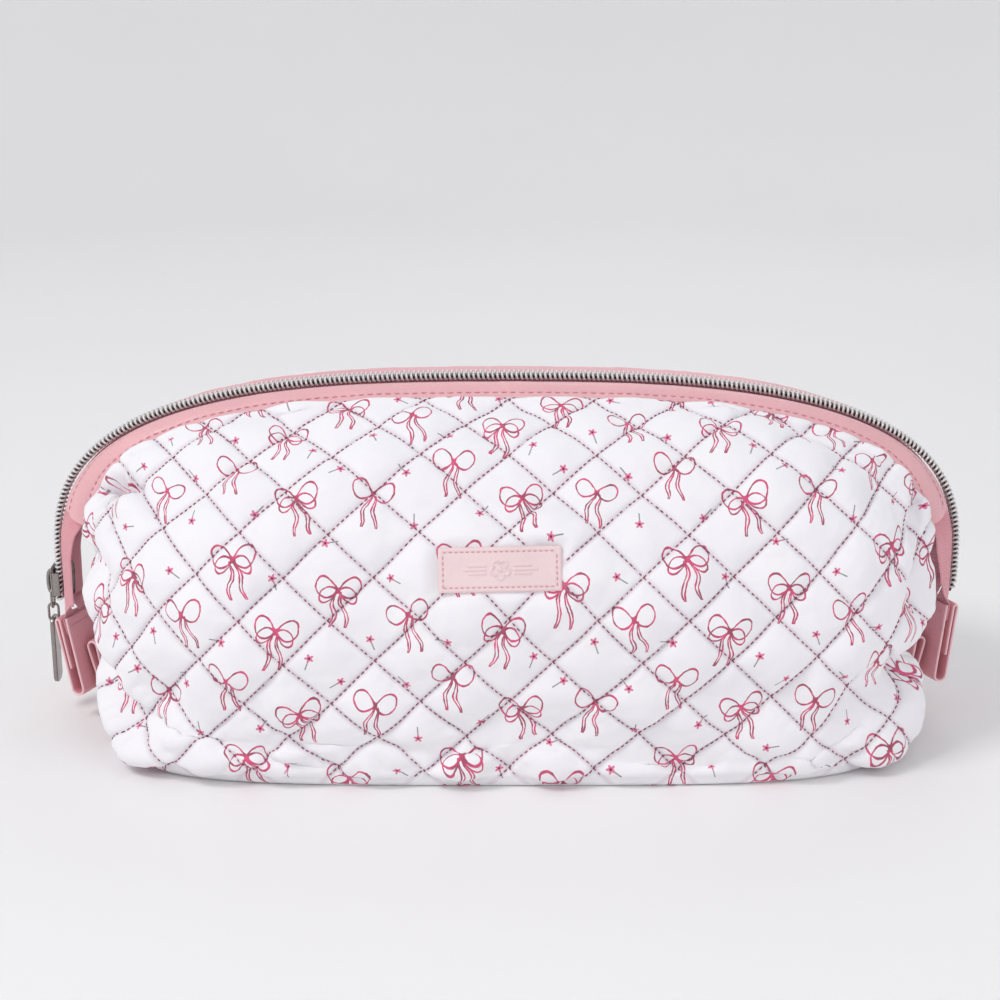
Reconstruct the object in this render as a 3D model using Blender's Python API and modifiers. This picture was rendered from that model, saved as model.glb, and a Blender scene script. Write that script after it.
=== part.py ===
"""Quilted wide-mouth makeup bag.

Two quilted half panels and a base make the soft body. A zip arches over the mouth from end to end.
Each side of the zip is sewn to a faux-leather band that holds a steel wire, so the mouth has two
wire frames that hinge open about the bag's ends. The zip's tails hang in folded end tabs, two loops
are sewn into the side seams, and a chain and a long pull hang from the slider on the left.

Metres, +Z up. The origin is the centre of the base, on the surface that the bag stands on.
+X runs along the bag to its right end and -Y is the front.
"""

import math

import bmesh
import bpy
import numpy as np
from mathutils import Euler, Vector

# ---- Driving dimensions ----
GAP = 0.0003                     # clearance between neighbouring solids
FRONT, BACK = -1, 1              # sign of Y
LEFT, RIGHT = -1, 1              # sign of X

# The zip's line: half a superellipse over the mouth, then straight down at both ends.
ARCH_HALF_LENGTH = 0.136
ARCH_SPRING_Z = 0.050
ARCH_RISE = 0.0565
ARCH_POWER = 2.8
FRAME_FOOT_Z = 0.066             # the bands, wires and hinged part of the zip end here
ARCH_STATIONS = 43

# The zip's section: "across" runs from the chain's middle to the side, "lift" runs outward.
CHAIN_FLAT = 0.0034              # the tape is flat this far, and then slopes with the band
SLOPE_AT_TOP = math.radians(14)
SLOPE_AT_FOOT = math.radians(62)
TAPE_ACROSS = (0.0002, 0.0150)
TAPE_LIFT = (-0.0013, -0.0007)
COIL_ACROSS = (0.0002, 0.0030)
COIL_LIFT = (-0.0002, 0.0020)
COIL_PARTED = (0.0012, 0.0033)   # where the slider's post spreads the coils

# The bands and the wires in them.
BAND_ACROSS = (0.0062, 0.0157)
BAND_LIFT = (-0.0002, 0.0030)
BAND_CORNER = 0.0009
BAND_END_SKEW = 0.15             # how far the band's end runs down per metre across
WIRE_ACROSS = 0.0112
WIRE_LIFT = 0.0014
WIRE_RADIUS = 0.0008
CHANNEL_RADIUS = 0.00115
ROUND_SIDES = 8

# The quilted panels, their lining and the base.
PANEL_EDGE_ACROSS = BAND_ACROSS[1] + 0.0006
PANEL_EDGE_LIFT = 0.0024
PANEL_THICKNESS = 0.0024
LINING_OFFSETS = (0.0031, 0.0039)
PANEL_COLUMNS = 31
PANEL_ROWS = 11
FOOT_SHARE = 0.94                # share of a panel's top edge that follows the band
SEAM_TOP = (0.1215, 0.058)       # x and z of a side seam's upper end
BASE_HALF_LENGTH = 0.1165
BASE_HALF_DEPTH = 0.058
BASE_POWER = 4.2
SEAM_PINCH = 0.0055              # the side seams draw the base in by this much, over SEAM_PINCH_DEPTH
SEAM_PINCH_DEPTH = 0.013
BASE_THICKNESS = 0.0024
PANEL_FOOT_Z = 0.003
OUTLINE_POINTS = 64
# Share of the way from the middle to a side seam, and how far the panel is pulled from its top
# edge and from its base edge there (x, y, z) before it turns: the two inner points of a Bezier.
PANEL_PULLS = (
    (0.00, (0.000, -0.044, -0.005), (0.000, -0.014, 0.040)),
    (0.70, (0.001, -0.038, -0.007), (0.004, -0.010, 0.028)),
    (0.85, (-0.001, -0.026, -0.010), (0.002, -0.004, 0.018)),
    (0.94, (-0.003, -0.011, -0.013), (-0.001, -0.001, 0.011)),
    (1.00, (-0.003, 0.000, -0.020), (-0.001, 0.000, 0.008)),
)

# The label plate on the front.
LABEL_SIZE = (0.034, 0.0012, 0.0125)
LABEL_X = -0.002
LABEL_Z = 0.0665
LABEL_ROLL = math.radians(-1.2)
LABEL_CORNER = 0.0010

# The end tabs, folded from a strip: a layer inside, a fold below, a layer outside, a tuck on top.
STRAP_WIDTH = 0.016
STRAP_THICKNESS = 0.0010
TAB_HEIGHT = 0.0245
TAB_FOLD_RADIUS = 0.0020
TAB_TUCK_RADIUS = 0.0007
TAB_TUCK_END_Z = 0.0085
TAB_SLOT_X = 0.0013              # middle of the slot between the inner layer and the tuck
TAB_SLOT_DEPTH = 0.005
# Top of the slot, lean of the tab and height at which the tail is flat, for each end.
TAB_TOP = {LEFT: (-0.1338, 0.0325), RIGHT: (0.1335, 0.0370)}
TAB_LEAN = {LEFT: math.radians(12), RIGHT: math.radians(7)}
TAB_YAW = math.radians(23)
TAIL_BEND_Z = {LEFT: 0.0362, RIGHT: 0.0440}
TAIL_FLAT_Z = {LEFT: 0.0500, RIGHT: 0.0420}
TAIL_HALF_WIDTH = (0.0115, 0.0072)
TAIL_STATIONS = 15
TAIL_COIL_END_Z = {LEFT: 0.0370, RIGHT: 0.0395}

# The loops in the side seams.
LOOP_LENGTH = 0.0165
LOOP_APEX_RADIUS = 0.0016
LOOP_ROOT_SPACING = 0.0015
LOOP_ROOT = {LEFT: (-0.1212, 0.0085), RIGHT: (0.1214, 0.0100)}
LOOP_LEAN = {LEFT: math.radians(14), RIGHT: math.radians(12)}

# The slider on the left tail, at the low end of its travel.
SLIDER_Z = (0.0375, 0.0480)
SLIDER_HALF_WIDTH = 0.0048
SLIDER_LIFT = (-0.0024, 0.0033)
SLIDER_CHANNEL_LIFT = (-0.0014, 0.0023)
SLIDER_CHANNEL_HALF_WIDTH = 0.0037
SLIDER_SLOT_TOP_LIFT = -0.0002
POST_HALF_WIDTH = 0.0008
POST_HEIGHT = 0.0030
PARTING_RUN = 0.0030             # the zip's sides spread over this height above the post
BAIL_RADIUS = 0.00045
BAIL_LIFT = 0.0052
BAIL_Z = (0.0390, 0.0455)

# The pull: two links and a plate.
LINK_RADIUS = 0.0004
LINK_LIFT = 0.0040
UPPER_LINK_Z = (0.0340, 0.0402)
UPPER_LINK_HALF_WIDTH = 0.0018
LOWER_LINK_Z = (0.0293, 0.0352)
LOWER_LINK_HALF_WIDTH = 0.0015
PLATE_SIZE = (0.0014, 0.0070, 0.0215)
PLATE_TOP_Z = 0.0312
PLATE_CORNER = 0.0030
PLATE_HOLE_RADIUS = 0.0012
PLATE_HOLE_DROP = 0.0024


# ---- Scene and material helpers ----
def clear_scene():
    for thing in list(bpy.data.objects):
        bpy.data.objects.remove(thing, do_unlink=True)


def new_collection(name):
    collection = bpy.data.collections.new(name)
    bpy.context.scene.collection.children.link(collection)
    return collection


def new_material(name, colour, roughness, metallic=0.0):
    material = bpy.data.materials.new(name)
    material.use_nodes = True
    shader = material.node_tree.nodes["Principled BSDF"]
    shader.inputs["Base Color"].default_value = (*colour, 1.0)
    shader.inputs["Roughness"].default_value = roughness
    shader.inputs["Metallic"].default_value = metallic
    return material


def add_object(name, mesh, collection, material=None):
    thing = bpy.data.objects.new(name, mesh)
    collection.objects.link(thing)
    if material:
        mesh.materials.append(material)
    return thing


def mesh_from(name, points, faces):
    """A mesh whose faces all point outward."""
    shape = bmesh.new()
    corners = [shape.verts.new(p) for p in points]
    for face in faces:
        shape.faces.new([corners[i] for i in face])
    bmesh.ops.recalc_face_normals(shape, faces=shape.faces)
    mesh = bpy.data.meshes.new(name)
    shape.to_mesh(mesh)
    shape.free()
    return mesh


def smooth_step(share):
    share = min(max(share, 0.0), 1.0)
    return share * share * (3 - 2 * share)


def as_guide(thing):
    """Marks a cutter or a piece that a Boolean joins to another, so that it isn't a part itself."""
    thing.hide_render = True
    thing.display_type = "WIRE"
    return thing


def boolean(thing, other, operation):
    modifier = thing.modifiers.new(f"{operation.lower()}_{other.name}", "BOOLEAN")
    modifier.operation = operation
    modifier.object = other


# ---- The zip's line and section ----
class Station:
    """A place on the zip's line: its centre, its sideways and outward directions, and its slope."""

    def __init__(self, centre, out, slope, twist=0.0):
        side = Vector((0, 1, 0))
        self.centre = centre
        self.side = side * math.cos(twist) - out * math.sin(twist)
        self.out = out * math.cos(twist) + side * math.sin(twist)
        self.slope = slope

    def point(self, half, across, lift, along=0.0):
        """A point of the section on the front or back half; the tape bends at CHAIN_FLAT."""
        run = across - CHAIN_FLAT
        if run < 0:
            sideways, outward = across, lift
        elif run == 0:
            sideways, outward = across + lift * math.tan(self.slope / 2), lift
        else:
            sideways = CHAIN_FLAT + run * math.cos(self.slope) + lift * math.sin(self.slope)
            outward = lift * math.cos(self.slope) - run * math.sin(self.slope)
        forward = Vector((-self.out.z, 0, self.out.x))
        return self.centre + self.side * (half * sideways) + self.out * outward + forward * along


def arch_x(z):
    """Half-length of the zip's line at a height."""
    rise = max(z - ARCH_SPRING_Z, 0.0) / ARCH_RISE
    return ARCH_HALF_LENGTH * (1 - rise**ARCH_POWER) ** (1 / ARCH_POWER)


def arch_line():
    """Close points of the zip's line from its right foot to its left foot, and their distances."""
    angle = np.linspace(0.0, math.pi, 3001)
    power = 2 / ARCH_POWER
    x = ARCH_HALF_LENGTH * np.sign(np.cos(angle)) * np.abs(np.cos(angle)) ** power
    z = ARCH_SPRING_Z + ARCH_RISE * np.abs(np.sin(angle)) ** power
    above = z >= FRAME_FOOT_Z
    line = np.column_stack([x[above], z[above]])
    steps = np.linalg.norm(np.diff(line, axis=0), axis=1)
    return line, np.concatenate([[0.0], np.cumsum(steps)])


ARCH_LINE, ARCH_DISTANCE = arch_line()


def arch_station(share):
    """The station at a share of the arch's length: 0 is the right foot and 1 the left foot."""
    distance = share * ARCH_DISTANCE[-1]
    reach = 0.0005

    def at(value):
        return np.array([np.interp(value, ARCH_DISTANCE, ARCH_LINE[:, i]) for i in (0, 1)])

    low, high = max(distance - reach, 0.0), min(distance + reach, ARCH_DISTANCE[-1])
    along = at(high) - at(low)
    along /= np.linalg.norm(along)
    x, z = at(distance)
    out = Vector((along[1], 0, -along[0]))
    slope = SLOPE_AT_TOP + (SLOPE_AT_FOOT - SLOPE_AT_TOP) * out.x**2
    return Station(Vector((x, 0, z)), out, slope)


def arch_stations():
    return [arch_station(share) for share in np.linspace(0, 1, ARCH_STATIONS)]


def tail_line(end, z):
    """Distance of a zip tail from the middle of the bag at a height."""
    top_x, top_z = TAB_TOP[end]
    bend_z = TAIL_BEND_Z[end]
    if z >= bend_z:
        return arch_x(z)
    in_slot = abs(top_x) - (top_z - z) * math.tan(TAB_LEAN[end])
    turned = smooth_step((bend_z - z) / (bend_z - top_z))
    return arch_x(bend_z) * (1 - turned) + in_slot * turned


def tail_stations(end, low_z):
    """Stations down one zip tail, from just under the frame's foot to low_z."""
    top_z = TAB_TOP[end][1]
    found = []
    for z in np.linspace(FRAME_FOOT_Z - 2 * GAP, low_z, TAIL_STATIONS):
        reach = 0.0004
        lean = tail_line(end, z - reach) - tail_line(end, z + reach)
        out = Vector((2 * reach, 0, lean)).normalized()
        flat = smooth_step((FRAME_FOOT_Z - z) / (FRAME_FOOT_Z - TAIL_FLAT_Z[end]))
        twist = TAB_YAW * smooth_step((TAIL_BEND_Z[end] - z) / (TAIL_BEND_Z[end] - top_z))
        centre = Vector((end * tail_line(end, z), 0, z))
        out.x *= end
        found.append(Station(centre, out, SLOPE_AT_FOOT * (1 - flat), twist))
    return found


def sweep(name, stations, half, sections):
    """A closed solid through the sections, one list of (across, lift, along) for each station."""
    points, faces = [], []
    size = len(sections[0])
    for station, section in zip(stations, sections):
        points += [station.point(half, *place) for place in section]
    for k in range(len(stations) - 1):
        for i in range(size):
            j = (i + 1) % size
            faces.append((k * size + i, k * size + j, (k + 1) * size + j, (k + 1) * size + i))
    faces.append(tuple(range(size)))
    faces.append(tuple(range((len(stations) - 1) * size, len(stations) * size)))
    return mesh_from(name, points, faces)


def bent_strip(across, lift):
    """The section of a tape: flat by the chain, and bent where the band starts."""
    middle = (CHAIN_FLAT + across[1]) / 2
    edges = [across[0], CHAIN_FLAT, middle, across[1]]
    return [(a, lift[0], 0.0) for a in edges] + [(a, lift[1], 0.0) for a in reversed(edges)]


def flat_strip(across, lift):
    return [
        (across[0], lift[0], 0.0),
        (across[1], lift[0], 0.0),
        (across[1], lift[1], 0.0),
        (across[0], lift[1], 0.0),
    ]


def band_section(end_sign=0):
    """A casing with chamfered corners. At an end it runs further down on its far edge."""
    (a0, a1), (l0, l1), c = BAND_ACROSS, BAND_LIFT, BAND_CORNER
    middle = (a0 + a1) / 2
    outline = [
        (a0 + c, l0), (middle, l0), (a1 - c, l0), (a1, l0 + c), (a1, l1 - c),
        (a1 - c, l1), (middle, l1), (a0 + c, l1), (a0, l1 - c), (a0, l0 + c),
    ]
    return [(a, l, end_sign * BAND_END_SKEW * (a - middle)) for a, l in outline]


def round_section(radius, along=0.0):
    turns = [2 * math.pi * k / ROUND_SIDES for k in range(ROUND_SIDES)]
    return [
        (WIRE_ACROSS + radius * math.cos(t), WIRE_LIFT + radius * math.sin(t), along)
        for t in turns
    ]


# ---- The mouth's frames and the zip ----
def half_name(half):
    return "front" if half == FRONT else "back"


def end_name(end):
    return "left" if end == LEFT else "right"


def make_frame(half, parts, cutters, look):
    """One side of the mouth: band, wire, tape and coil."""
    stations = arch_stations()
    count = len(stations)
    label = half_name(half)

    channel = [round_section(CHANNEL_RADIUS, 0.0) for _ in stations]
    channel[0] = round_section(CHANNEL_RADIUS, -0.004)
    channel[-1] = round_section(CHANNEL_RADIUS, 0.004)
    cutter_mesh = sweep(f"{label}_channel", stations, half, channel)
    cutter = as_guide(add_object(f"{label}_channel", cutter_mesh, cutters))
    sections = [band_section() for _ in stations]
    sections[0] = band_section(-1)
    sections[-1] = band_section(1)
    band_mesh = sweep(f"{label}_band", stations, half, sections)
    band = add_object(f"{label}_band", band_mesh, parts, look["band"])
    boolean(band, cutter, "DIFFERENCE")

    wire = sweep(f"{label}_wire", stations, half, [round_section(WIRE_RADIUS)] * count)
    add_object(f"{label}_wire", wire, parts, look["steel"])
    tape = sweep(f"{label}_zip_tape", stations, half, [bent_strip(TAPE_ACROSS, TAPE_LIFT)] * count)
    add_object(f"{label}_zip_tape", tape, parts, look["tape"])
    coil = sweep(f"{label}_zip_coil", stations, half, [flat_strip(COIL_ACROSS, COIL_LIFT)] * count)
    add_object(f"{label}_zip_coil", coil, parts, look["coil"])


def tail_parting(end, z):
    """How far the slider's post has spread the two sides of the zip at a height, from 0 to 1."""
    if end == RIGHT:
        return 0.0
    return smooth_step((SLIDER_Z[0] + POST_HEIGHT + PARTING_RUN - z) / PARTING_RUN)


def make_tail(end, half, parts, look):
    """The stretch of tape and coil that hangs from a frame's foot into the end tab."""
    label = f"{end_name(end)}_tail"
    top_z = TAB_TOP[end][1]
    stations = tail_stations(end, top_z - TAB_SLOT_DEPTH)
    wide, narrow = TAIL_HALF_WIDTH
    widths = [
        narrow + (wide - narrow) * smooth_step((s.centre.z - TAIL_FLAT_Z[end]) / 0.016)
        for s in stations
    ]
    sections = []
    for station, width in zip(stations, widths):
        parted = tail_parting(end, station.centre.z)
        inner = TAPE_ACROSS[0] * (1 - parted) + COIL_PARTED[0] * parted
        sections.append(bent_strip((inner, width), TAPE_LIFT))
    tape = sweep(f"{label}_tape_{half_name(half)}", stations, half, sections)
    add_object(tape.name, tape, parts, look["tape"])

    stations = tail_stations(end, TAIL_COIL_END_Z[end])
    sections = []
    for station in stations:
        parted = tail_parting(end, station.centre.z)
        across = [a * (1 - parted) + b * parted for a, b in zip(COIL_ACROSS, COIL_PARTED)]
        sections.append(flat_strip(across, COIL_LIFT))
    coil = sweep(f"{label}_coil_{half_name(half)}", stations, half, sections)
    add_object(coil.name, coil, parts, look["coil"])


# ---- The quilted body ----
def base_outline(share, half_length, half_depth, power):
    """The front half of the base's outline: 0 at the right seam, 1 at the left seam."""
    angle = np.linspace(0.0, math.pi, 2001)
    x = half_length * np.sign(np.cos(angle)) * np.abs(np.cos(angle)) ** (2 / power)
    y = -half_depth * np.abs(np.sin(angle)) ** (2 / power)
    x -= np.sign(x) * SEAM_PINCH * np.exp(-((y / SEAM_PINCH_DEPTH) ** 2)) * (np.abs(x) > half_depth)
    steps = np.hypot(np.diff(x), np.diff(y))
    distance = np.concatenate([[0.0], np.cumsum(steps)])
    place = share * distance[-1]
    return float(np.interp(place, distance, x)), float(np.interp(place, distance, y))


def panel_pull(spread, which):
    """The top (1) or base (2) pull at a share of the way out to a side seam."""
    knots = [row[0] for row in PANEL_PULLS]
    return Vector([np.interp(spread, knots, [row[which][i] for row in PANEL_PULLS]) for i in range(3)])


def panel_curve(position):
    """The four Bezier points of the front panel at a position from -1 (left seam) to 1 (right)."""
    spread, sign = abs(position), math.copysign(1.0, position)
    along = min(spread / FOOT_SHARE, 1.0) * sign
    station = arch_station((1 - along) / 2)
    top = station.point(FRONT, PANEL_EDGE_ACROSS, PANEL_EDGE_LIFT)
    if spread > FOOT_SHARE:
        past = (spread - FOOT_SHARE) / (1 - FOOT_SHARE)
        seam = Vector((sign * SEAM_TOP[0], -GAP / 2, SEAM_TOP[1]))
        top = top.lerp(seam, past)
    x, y = base_outline((1 - position) / 2, BASE_HALF_LENGTH, BASE_HALF_DEPTH, BASE_POWER)
    base = Vector((x, min(y, -GAP / 2), PANEL_FOOT_Z))
    top_pull, base_pull = panel_pull(spread, 1), panel_pull(spread, 2)
    top_pull.x *= sign
    base_pull.x *= sign
    return top, top + top_pull, base + base_pull, base


def panel_point(position, fall):
    """A point of the front panel's outer face; fall runs from 0 at the band to 1 at the base."""
    a, b, c, d = panel_curve(position)
    rise = 1 - fall
    return a * rise**3 + b * (3 * rise**2 * fall) + c * (3 * rise * fall**2) + d * fall**3


def panel_grid(offset):
    """The panel's face moved inward by an offset, as rows of points."""
    positions = np.linspace(-1, 1, PANEL_COLUMNS)
    falls = np.linspace(0, 1, PANEL_ROWS)
    face = [[panel_point(u, v) for u in positions] for v in falls]
    rows = []
    for r, v in enumerate(falls):
        row = []
        for c, u in enumerate(positions):
            across = face[r][min(c + 1, PANEL_COLUMNS - 1)] - face[r][max(c - 1, 0)]
            down = face[min(r + 1, PANEL_ROWS - 1)][c] - face[max(r - 1, 0)][c]
            inward = across.cross(down).normalized()
            point = face[r][c] + inward * offset
            point.y = min(point.y, -GAP / 2)
            point.z = max(point.z, PANEL_FOOT_Z)
            row.append(point)
        rows.append(row)
    return rows


def make_shell(name, outer_offset, inner_offset, half, parts, material):
    """A closed shell between two offsets of the front panel's face, mirrored for the back."""
    points, faces = [], []
    rows, columns = PANEL_ROWS, PANEL_COLUMNS
    for grid in (panel_grid(outer_offset), panel_grid(inner_offset)):
        points += [Vector((p.x, p.y * -half, p.z)) for row in grid for p in row]
    skin = rows * columns
    for r in range(rows - 1):
        for c in range(columns - 1):
            quad = (r * columns + c, r * columns + c + 1, (r + 1) * columns + c + 1, (r + 1) * columns + c)
            faces.append(quad)
            faces.append(tuple(i + skin for i in reversed(quad)))
    rim = [c for c in range(columns)]
    rim += [r * columns + columns - 1 for r in range(1, rows)]
    rim += [(rows - 1) * columns + c for c in reversed(range(columns - 1))]
    rim += [r * columns for r in reversed(range(1, rows - 1))]
    for k, i in enumerate(rim):
        j = rim[(k + 1) % len(rim)]
        faces.append((j, i, i + skin, j + skin))
    return add_object(name, mesh_from(name, points, faces), parts, material)


def make_slab(name, inset, low, high, parts, material):
    """A flat slab of the base's outline."""
    outline = []
    for k in range(OUTLINE_POINTS):
        share = 2 * k / OUTLINE_POINTS
        x, y = base_outline(min(share, 2 - share), BASE_HALF_LENGTH - inset, BASE_HALF_DEPTH - inset,
                            BASE_POWER)
        outline.append((x, y if share <= 1 else -y))
    size = OUTLINE_POINTS
    points = [(x, y, z) for z in (low, high) for x, y in outline]
    faces = [tuple(range(size)), tuple(range(size, 2 * size))]
    faces += [(k, (k + 1) % size, (k + 1) % size + size, k + size) for k in range(size)]
    return add_object(name, mesh_from(name, points, faces), parts, material)


def make_label(parts, material):
    """A thin plate on the front panel, square to the face where it sits."""
    falls = np.linspace(0, 1, 400)
    fall = min(falls, key=lambda v: abs(panel_point(0, v).z - LABEL_Z))
    spot = panel_point(0, fall)
    down = (panel_point(0, fall + 0.01) - panel_point(0, fall - 0.01)).normalized()
    width, depth, height = LABEL_SIZE
    bpy.ops.mesh.primitive_cube_add(size=1)
    label = bpy.context.active_object
    label.name = label.data.name = "label"
    for vertex in label.data.vertices:
        vertex.co = (vertex.co.x * width, vertex.co.y * depth, vertex.co.z * height)
    tilt = math.atan2(-down.y, -down.z)
    label.rotation_euler = Euler((-tilt, LABEL_ROLL, 0))
    outward = Vector((0, down.z, -down.y))
    label.location = Vector((LABEL_X, spot.y, spot.z)) + outward * (depth / 2 + 2 * GAP)
    rounding = label.modifiers.new("corners", "BEVEL")
    rounding.width = LABEL_CORNER / 3
    rounding.segments = 2
    label.data.materials.append(material)
    for collection in list(label.users_collection):
        collection.objects.unlink(label)
    parts.objects.link(label)
    return label


# ---- Straps ----
def half_turn(centre_x, centre_z, radius, start, count=7):
    """Points of half a circle, from a start angle in degrees, turning by 180 or -180 degrees."""
    first, last = start
    angles = np.radians(np.linspace(first, last, count))
    return [(centre_x + radius * math.cos(a), centre_z + radius * math.sin(a)) for a in angles]


def make_strap(name, path, parts, material):
    """A strip of constant width along a path in its own XZ plane, given its thickness by Solidify."""
    half_width = STRAP_WIDTH / 2
    points = [(x, y, z) for x, z in path for y in (-half_width, half_width)]
    shape = bmesh.new()
    corners = [shape.verts.new(p) for p in points]
    for k in range(len(path) - 1):
        shape.faces.new([corners[i] for i in (2 * k, 2 * k + 1, 2 * k + 3, 2 * k + 2)])
    mesh = bpy.data.meshes.new(name)
    shape.to_mesh(mesh)
    shape.free()
    strap = add_object(name, mesh, parts, material)
    thickness = strap.modifiers.new("thickness", "SOLIDIFY")
    thickness.thickness = STRAP_THICKNESS
    thickness.offset = 0.0
    thickness.use_even_offset = True
    return strap


def make_end_tab(end, parts, material):
    """The strip that wraps the end of the zip. Its own origin is the top of the slot."""
    low, wide, tuck = -TAB_HEIGHT, 2 * TAB_FOLD_RADIUS, TAB_TUCK_RADIUS
    path = [(0.0, 0.0), (0.0, low / 2)]
    path += half_turn(TAB_FOLD_RADIUS, low + TAB_FOLD_RADIUS, TAB_FOLD_RADIUS, (180, 360))
    path += half_turn(wide - tuck, -tuck, tuck, (0, 180))
    path += [(wide - 2 * tuck, low + TAB_TUCK_END_Z)]
    path = [(end * (x - TAB_SLOT_X), z) for x, z in path]
    tab = make_strap(f"{end_name(end)}_end_tab", path, parts, material)
    top_x, top_z = TAB_TOP[end]
    tape_middle = sum(TAPE_LIFT) / 2
    tab.location = (top_x + end * tape_middle, 0, top_z)
    tab.rotation_euler = Euler((0, end * TAB_LEAN[end], end * TAB_YAW))


def make_side_loop(end, parts, material):
    """A strap folded in half whose two ends are caught in the side seam."""
    root, radius = LOOP_ROOT_SPACING / 2, LOOP_APEX_RADIUS
    shoulder = LOOP_LENGTH - radius
    path = [(-root, 0.0), (-(root + radius) / 2, shoulder / 2)]
    path += half_turn(0.0, shoulder, radius, (180, 0), 9)
    path += [((root + radius) / 2, shoulder / 2), (root, 0.0)]
    loop = make_strap(f"{end_name(end)}_side_loop", path, parts, material)
    loop.location = (LOOP_ROOT[end][0], 0, LOOP_ROOT[end][1])
    loop.rotation_euler = Euler((0, end * LOOP_LEAN[end], end * TAB_YAW))


# ---- Slider and pull ----
def outward_x(lift):
    """X of a place on the left tail, by its distance outward from the zip's line."""
    return -(ARCH_HALF_LENGTH + lift)


def make_box(name, lifts, half_width, heights, collection, material=None):
    """A box across the left tail, between two lifts and two heights."""
    bpy.ops.mesh.primitive_cube_add(size=1)
    box = bpy.context.active_object
    box.name = box.data.name = name
    depth, tall = lifts[1] - lifts[0], heights[1] - heights[0]
    for vertex in box.data.vertices:
        vertex.co = (vertex.co.x * depth, vertex.co.y * 2 * half_width, vertex.co.z * tall)
    box.location = (outward_x(sum(lifts) / 2), 0, sum(heights) / 2)
    if material:
        box.data.materials.append(material)
    for old in list(box.users_collection):
        old.objects.unlink(box)
    collection.objects.link(box)
    return box


def make_tube(name, path, radius, closed, collection, material=None):
    """A wire along a path, as a mesh."""
    curve = bpy.data.curves.new(name, "CURVE")
    curve.dimensions = "3D"
    curve.bevel_depth = radius
    curve.bevel_resolution = 2
    curve.use_fill_caps = not closed
    curve.resolution_u = 1
    spline = curve.splines.new("POLY")
    spline.points.add(len(path) - 1)
    for point, place in zip(spline.points, path):
        point.co = (*place, 1)
    spline.use_cyclic_u = closed
    guide = bpy.data.objects.new(f"{name}_line", curve)
    bpy.context.scene.collection.objects.link(guide)
    bpy.context.view_layer.update()
    evaluated = guide.evaluated_get(bpy.context.evaluated_depsgraph_get())
    mesh = bpy.data.meshes.new_from_object(evaluated)
    bpy.data.objects.remove(guide, do_unlink=True)
    shape = bmesh.new()
    shape.from_mesh(mesh)
    bmesh.ops.remove_doubles(shape, verts=shape.verts, dist=1e-6)
    bmesh.ops.recalc_face_normals(shape, faces=shape.faces)
    shape.to_mesh(mesh)
    shape.free()
    mesh.name = name
    mesh.materials.clear()
    return add_object(name, mesh, collection, material)


def stadium(half_width, low, high, count=9):
    """A long ring in a plane, as (sideways, height), going once round."""
    upper = half_turn(0.0, high - half_width, half_width, (0, 180), count)
    lower = half_turn(0.0, low + half_width, half_width, (180, 360), count)
    return upper + lower


def make_slider(parts, cutters, material):
    """Two plates joined by a post at the low end, with flanges over the tapes and a bail outside."""
    low, high = SLIDER_Z
    body = make_box("slider_body", SLIDER_LIFT, SLIDER_HALF_WIDTH, SLIDER_Z, parts, material)
    edges = body.modifiers.new("edges", "BEVEL")
    edges.width = 0.0005
    edges.segments = 2
    past = (low - 0.001, high + 0.001)
    room = make_box("coil_room", SLIDER_CHANNEL_LIFT, SLIDER_CHANNEL_HALF_WIDTH, past, cutters)
    slot_lift = (SLIDER_CHANNEL_LIFT[0], SLIDER_SLOT_TOP_LIFT)
    slot = make_box("tape_slot", slot_lift, SLIDER_HALF_WIDTH + 0.001, past, cutters)
    inside = (SLIDER_CHANNEL_LIFT[0] - 0.0005, SLIDER_CHANNEL_LIFT[1] + 0.0005)
    post_heights = (low + 0.0004, low + POST_HEIGHT)
    post = make_box("post", inside, POST_HALF_WIDTH, post_heights, cutters)
    foot_lift = SLIDER_LIFT[1] - 0.0005
    (bail_low, bail_high), turn = BAIL_Z, 0.0008
    path = [(foot_lift, bail_low), (BAIL_LIFT - turn, bail_low), (BAIL_LIFT, bail_low + turn)]
    path += [(BAIL_LIFT, bail_high - turn), (BAIL_LIFT - turn, bail_high), (foot_lift, bail_high)]
    path = [(outward_x(lift), 0, z) for lift, z in path]
    bail = make_tube("bail", path, BAIL_RADIUS, False, cutters)
    for guide in (room, slot, post, bail):
        as_guide(guide)
    boolean(body, room, "DIFFERENCE")
    boolean(body, slot, "DIFFERENCE")
    boolean(body, post, "UNION")
    boolean(body, bail, "UNION")


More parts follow.
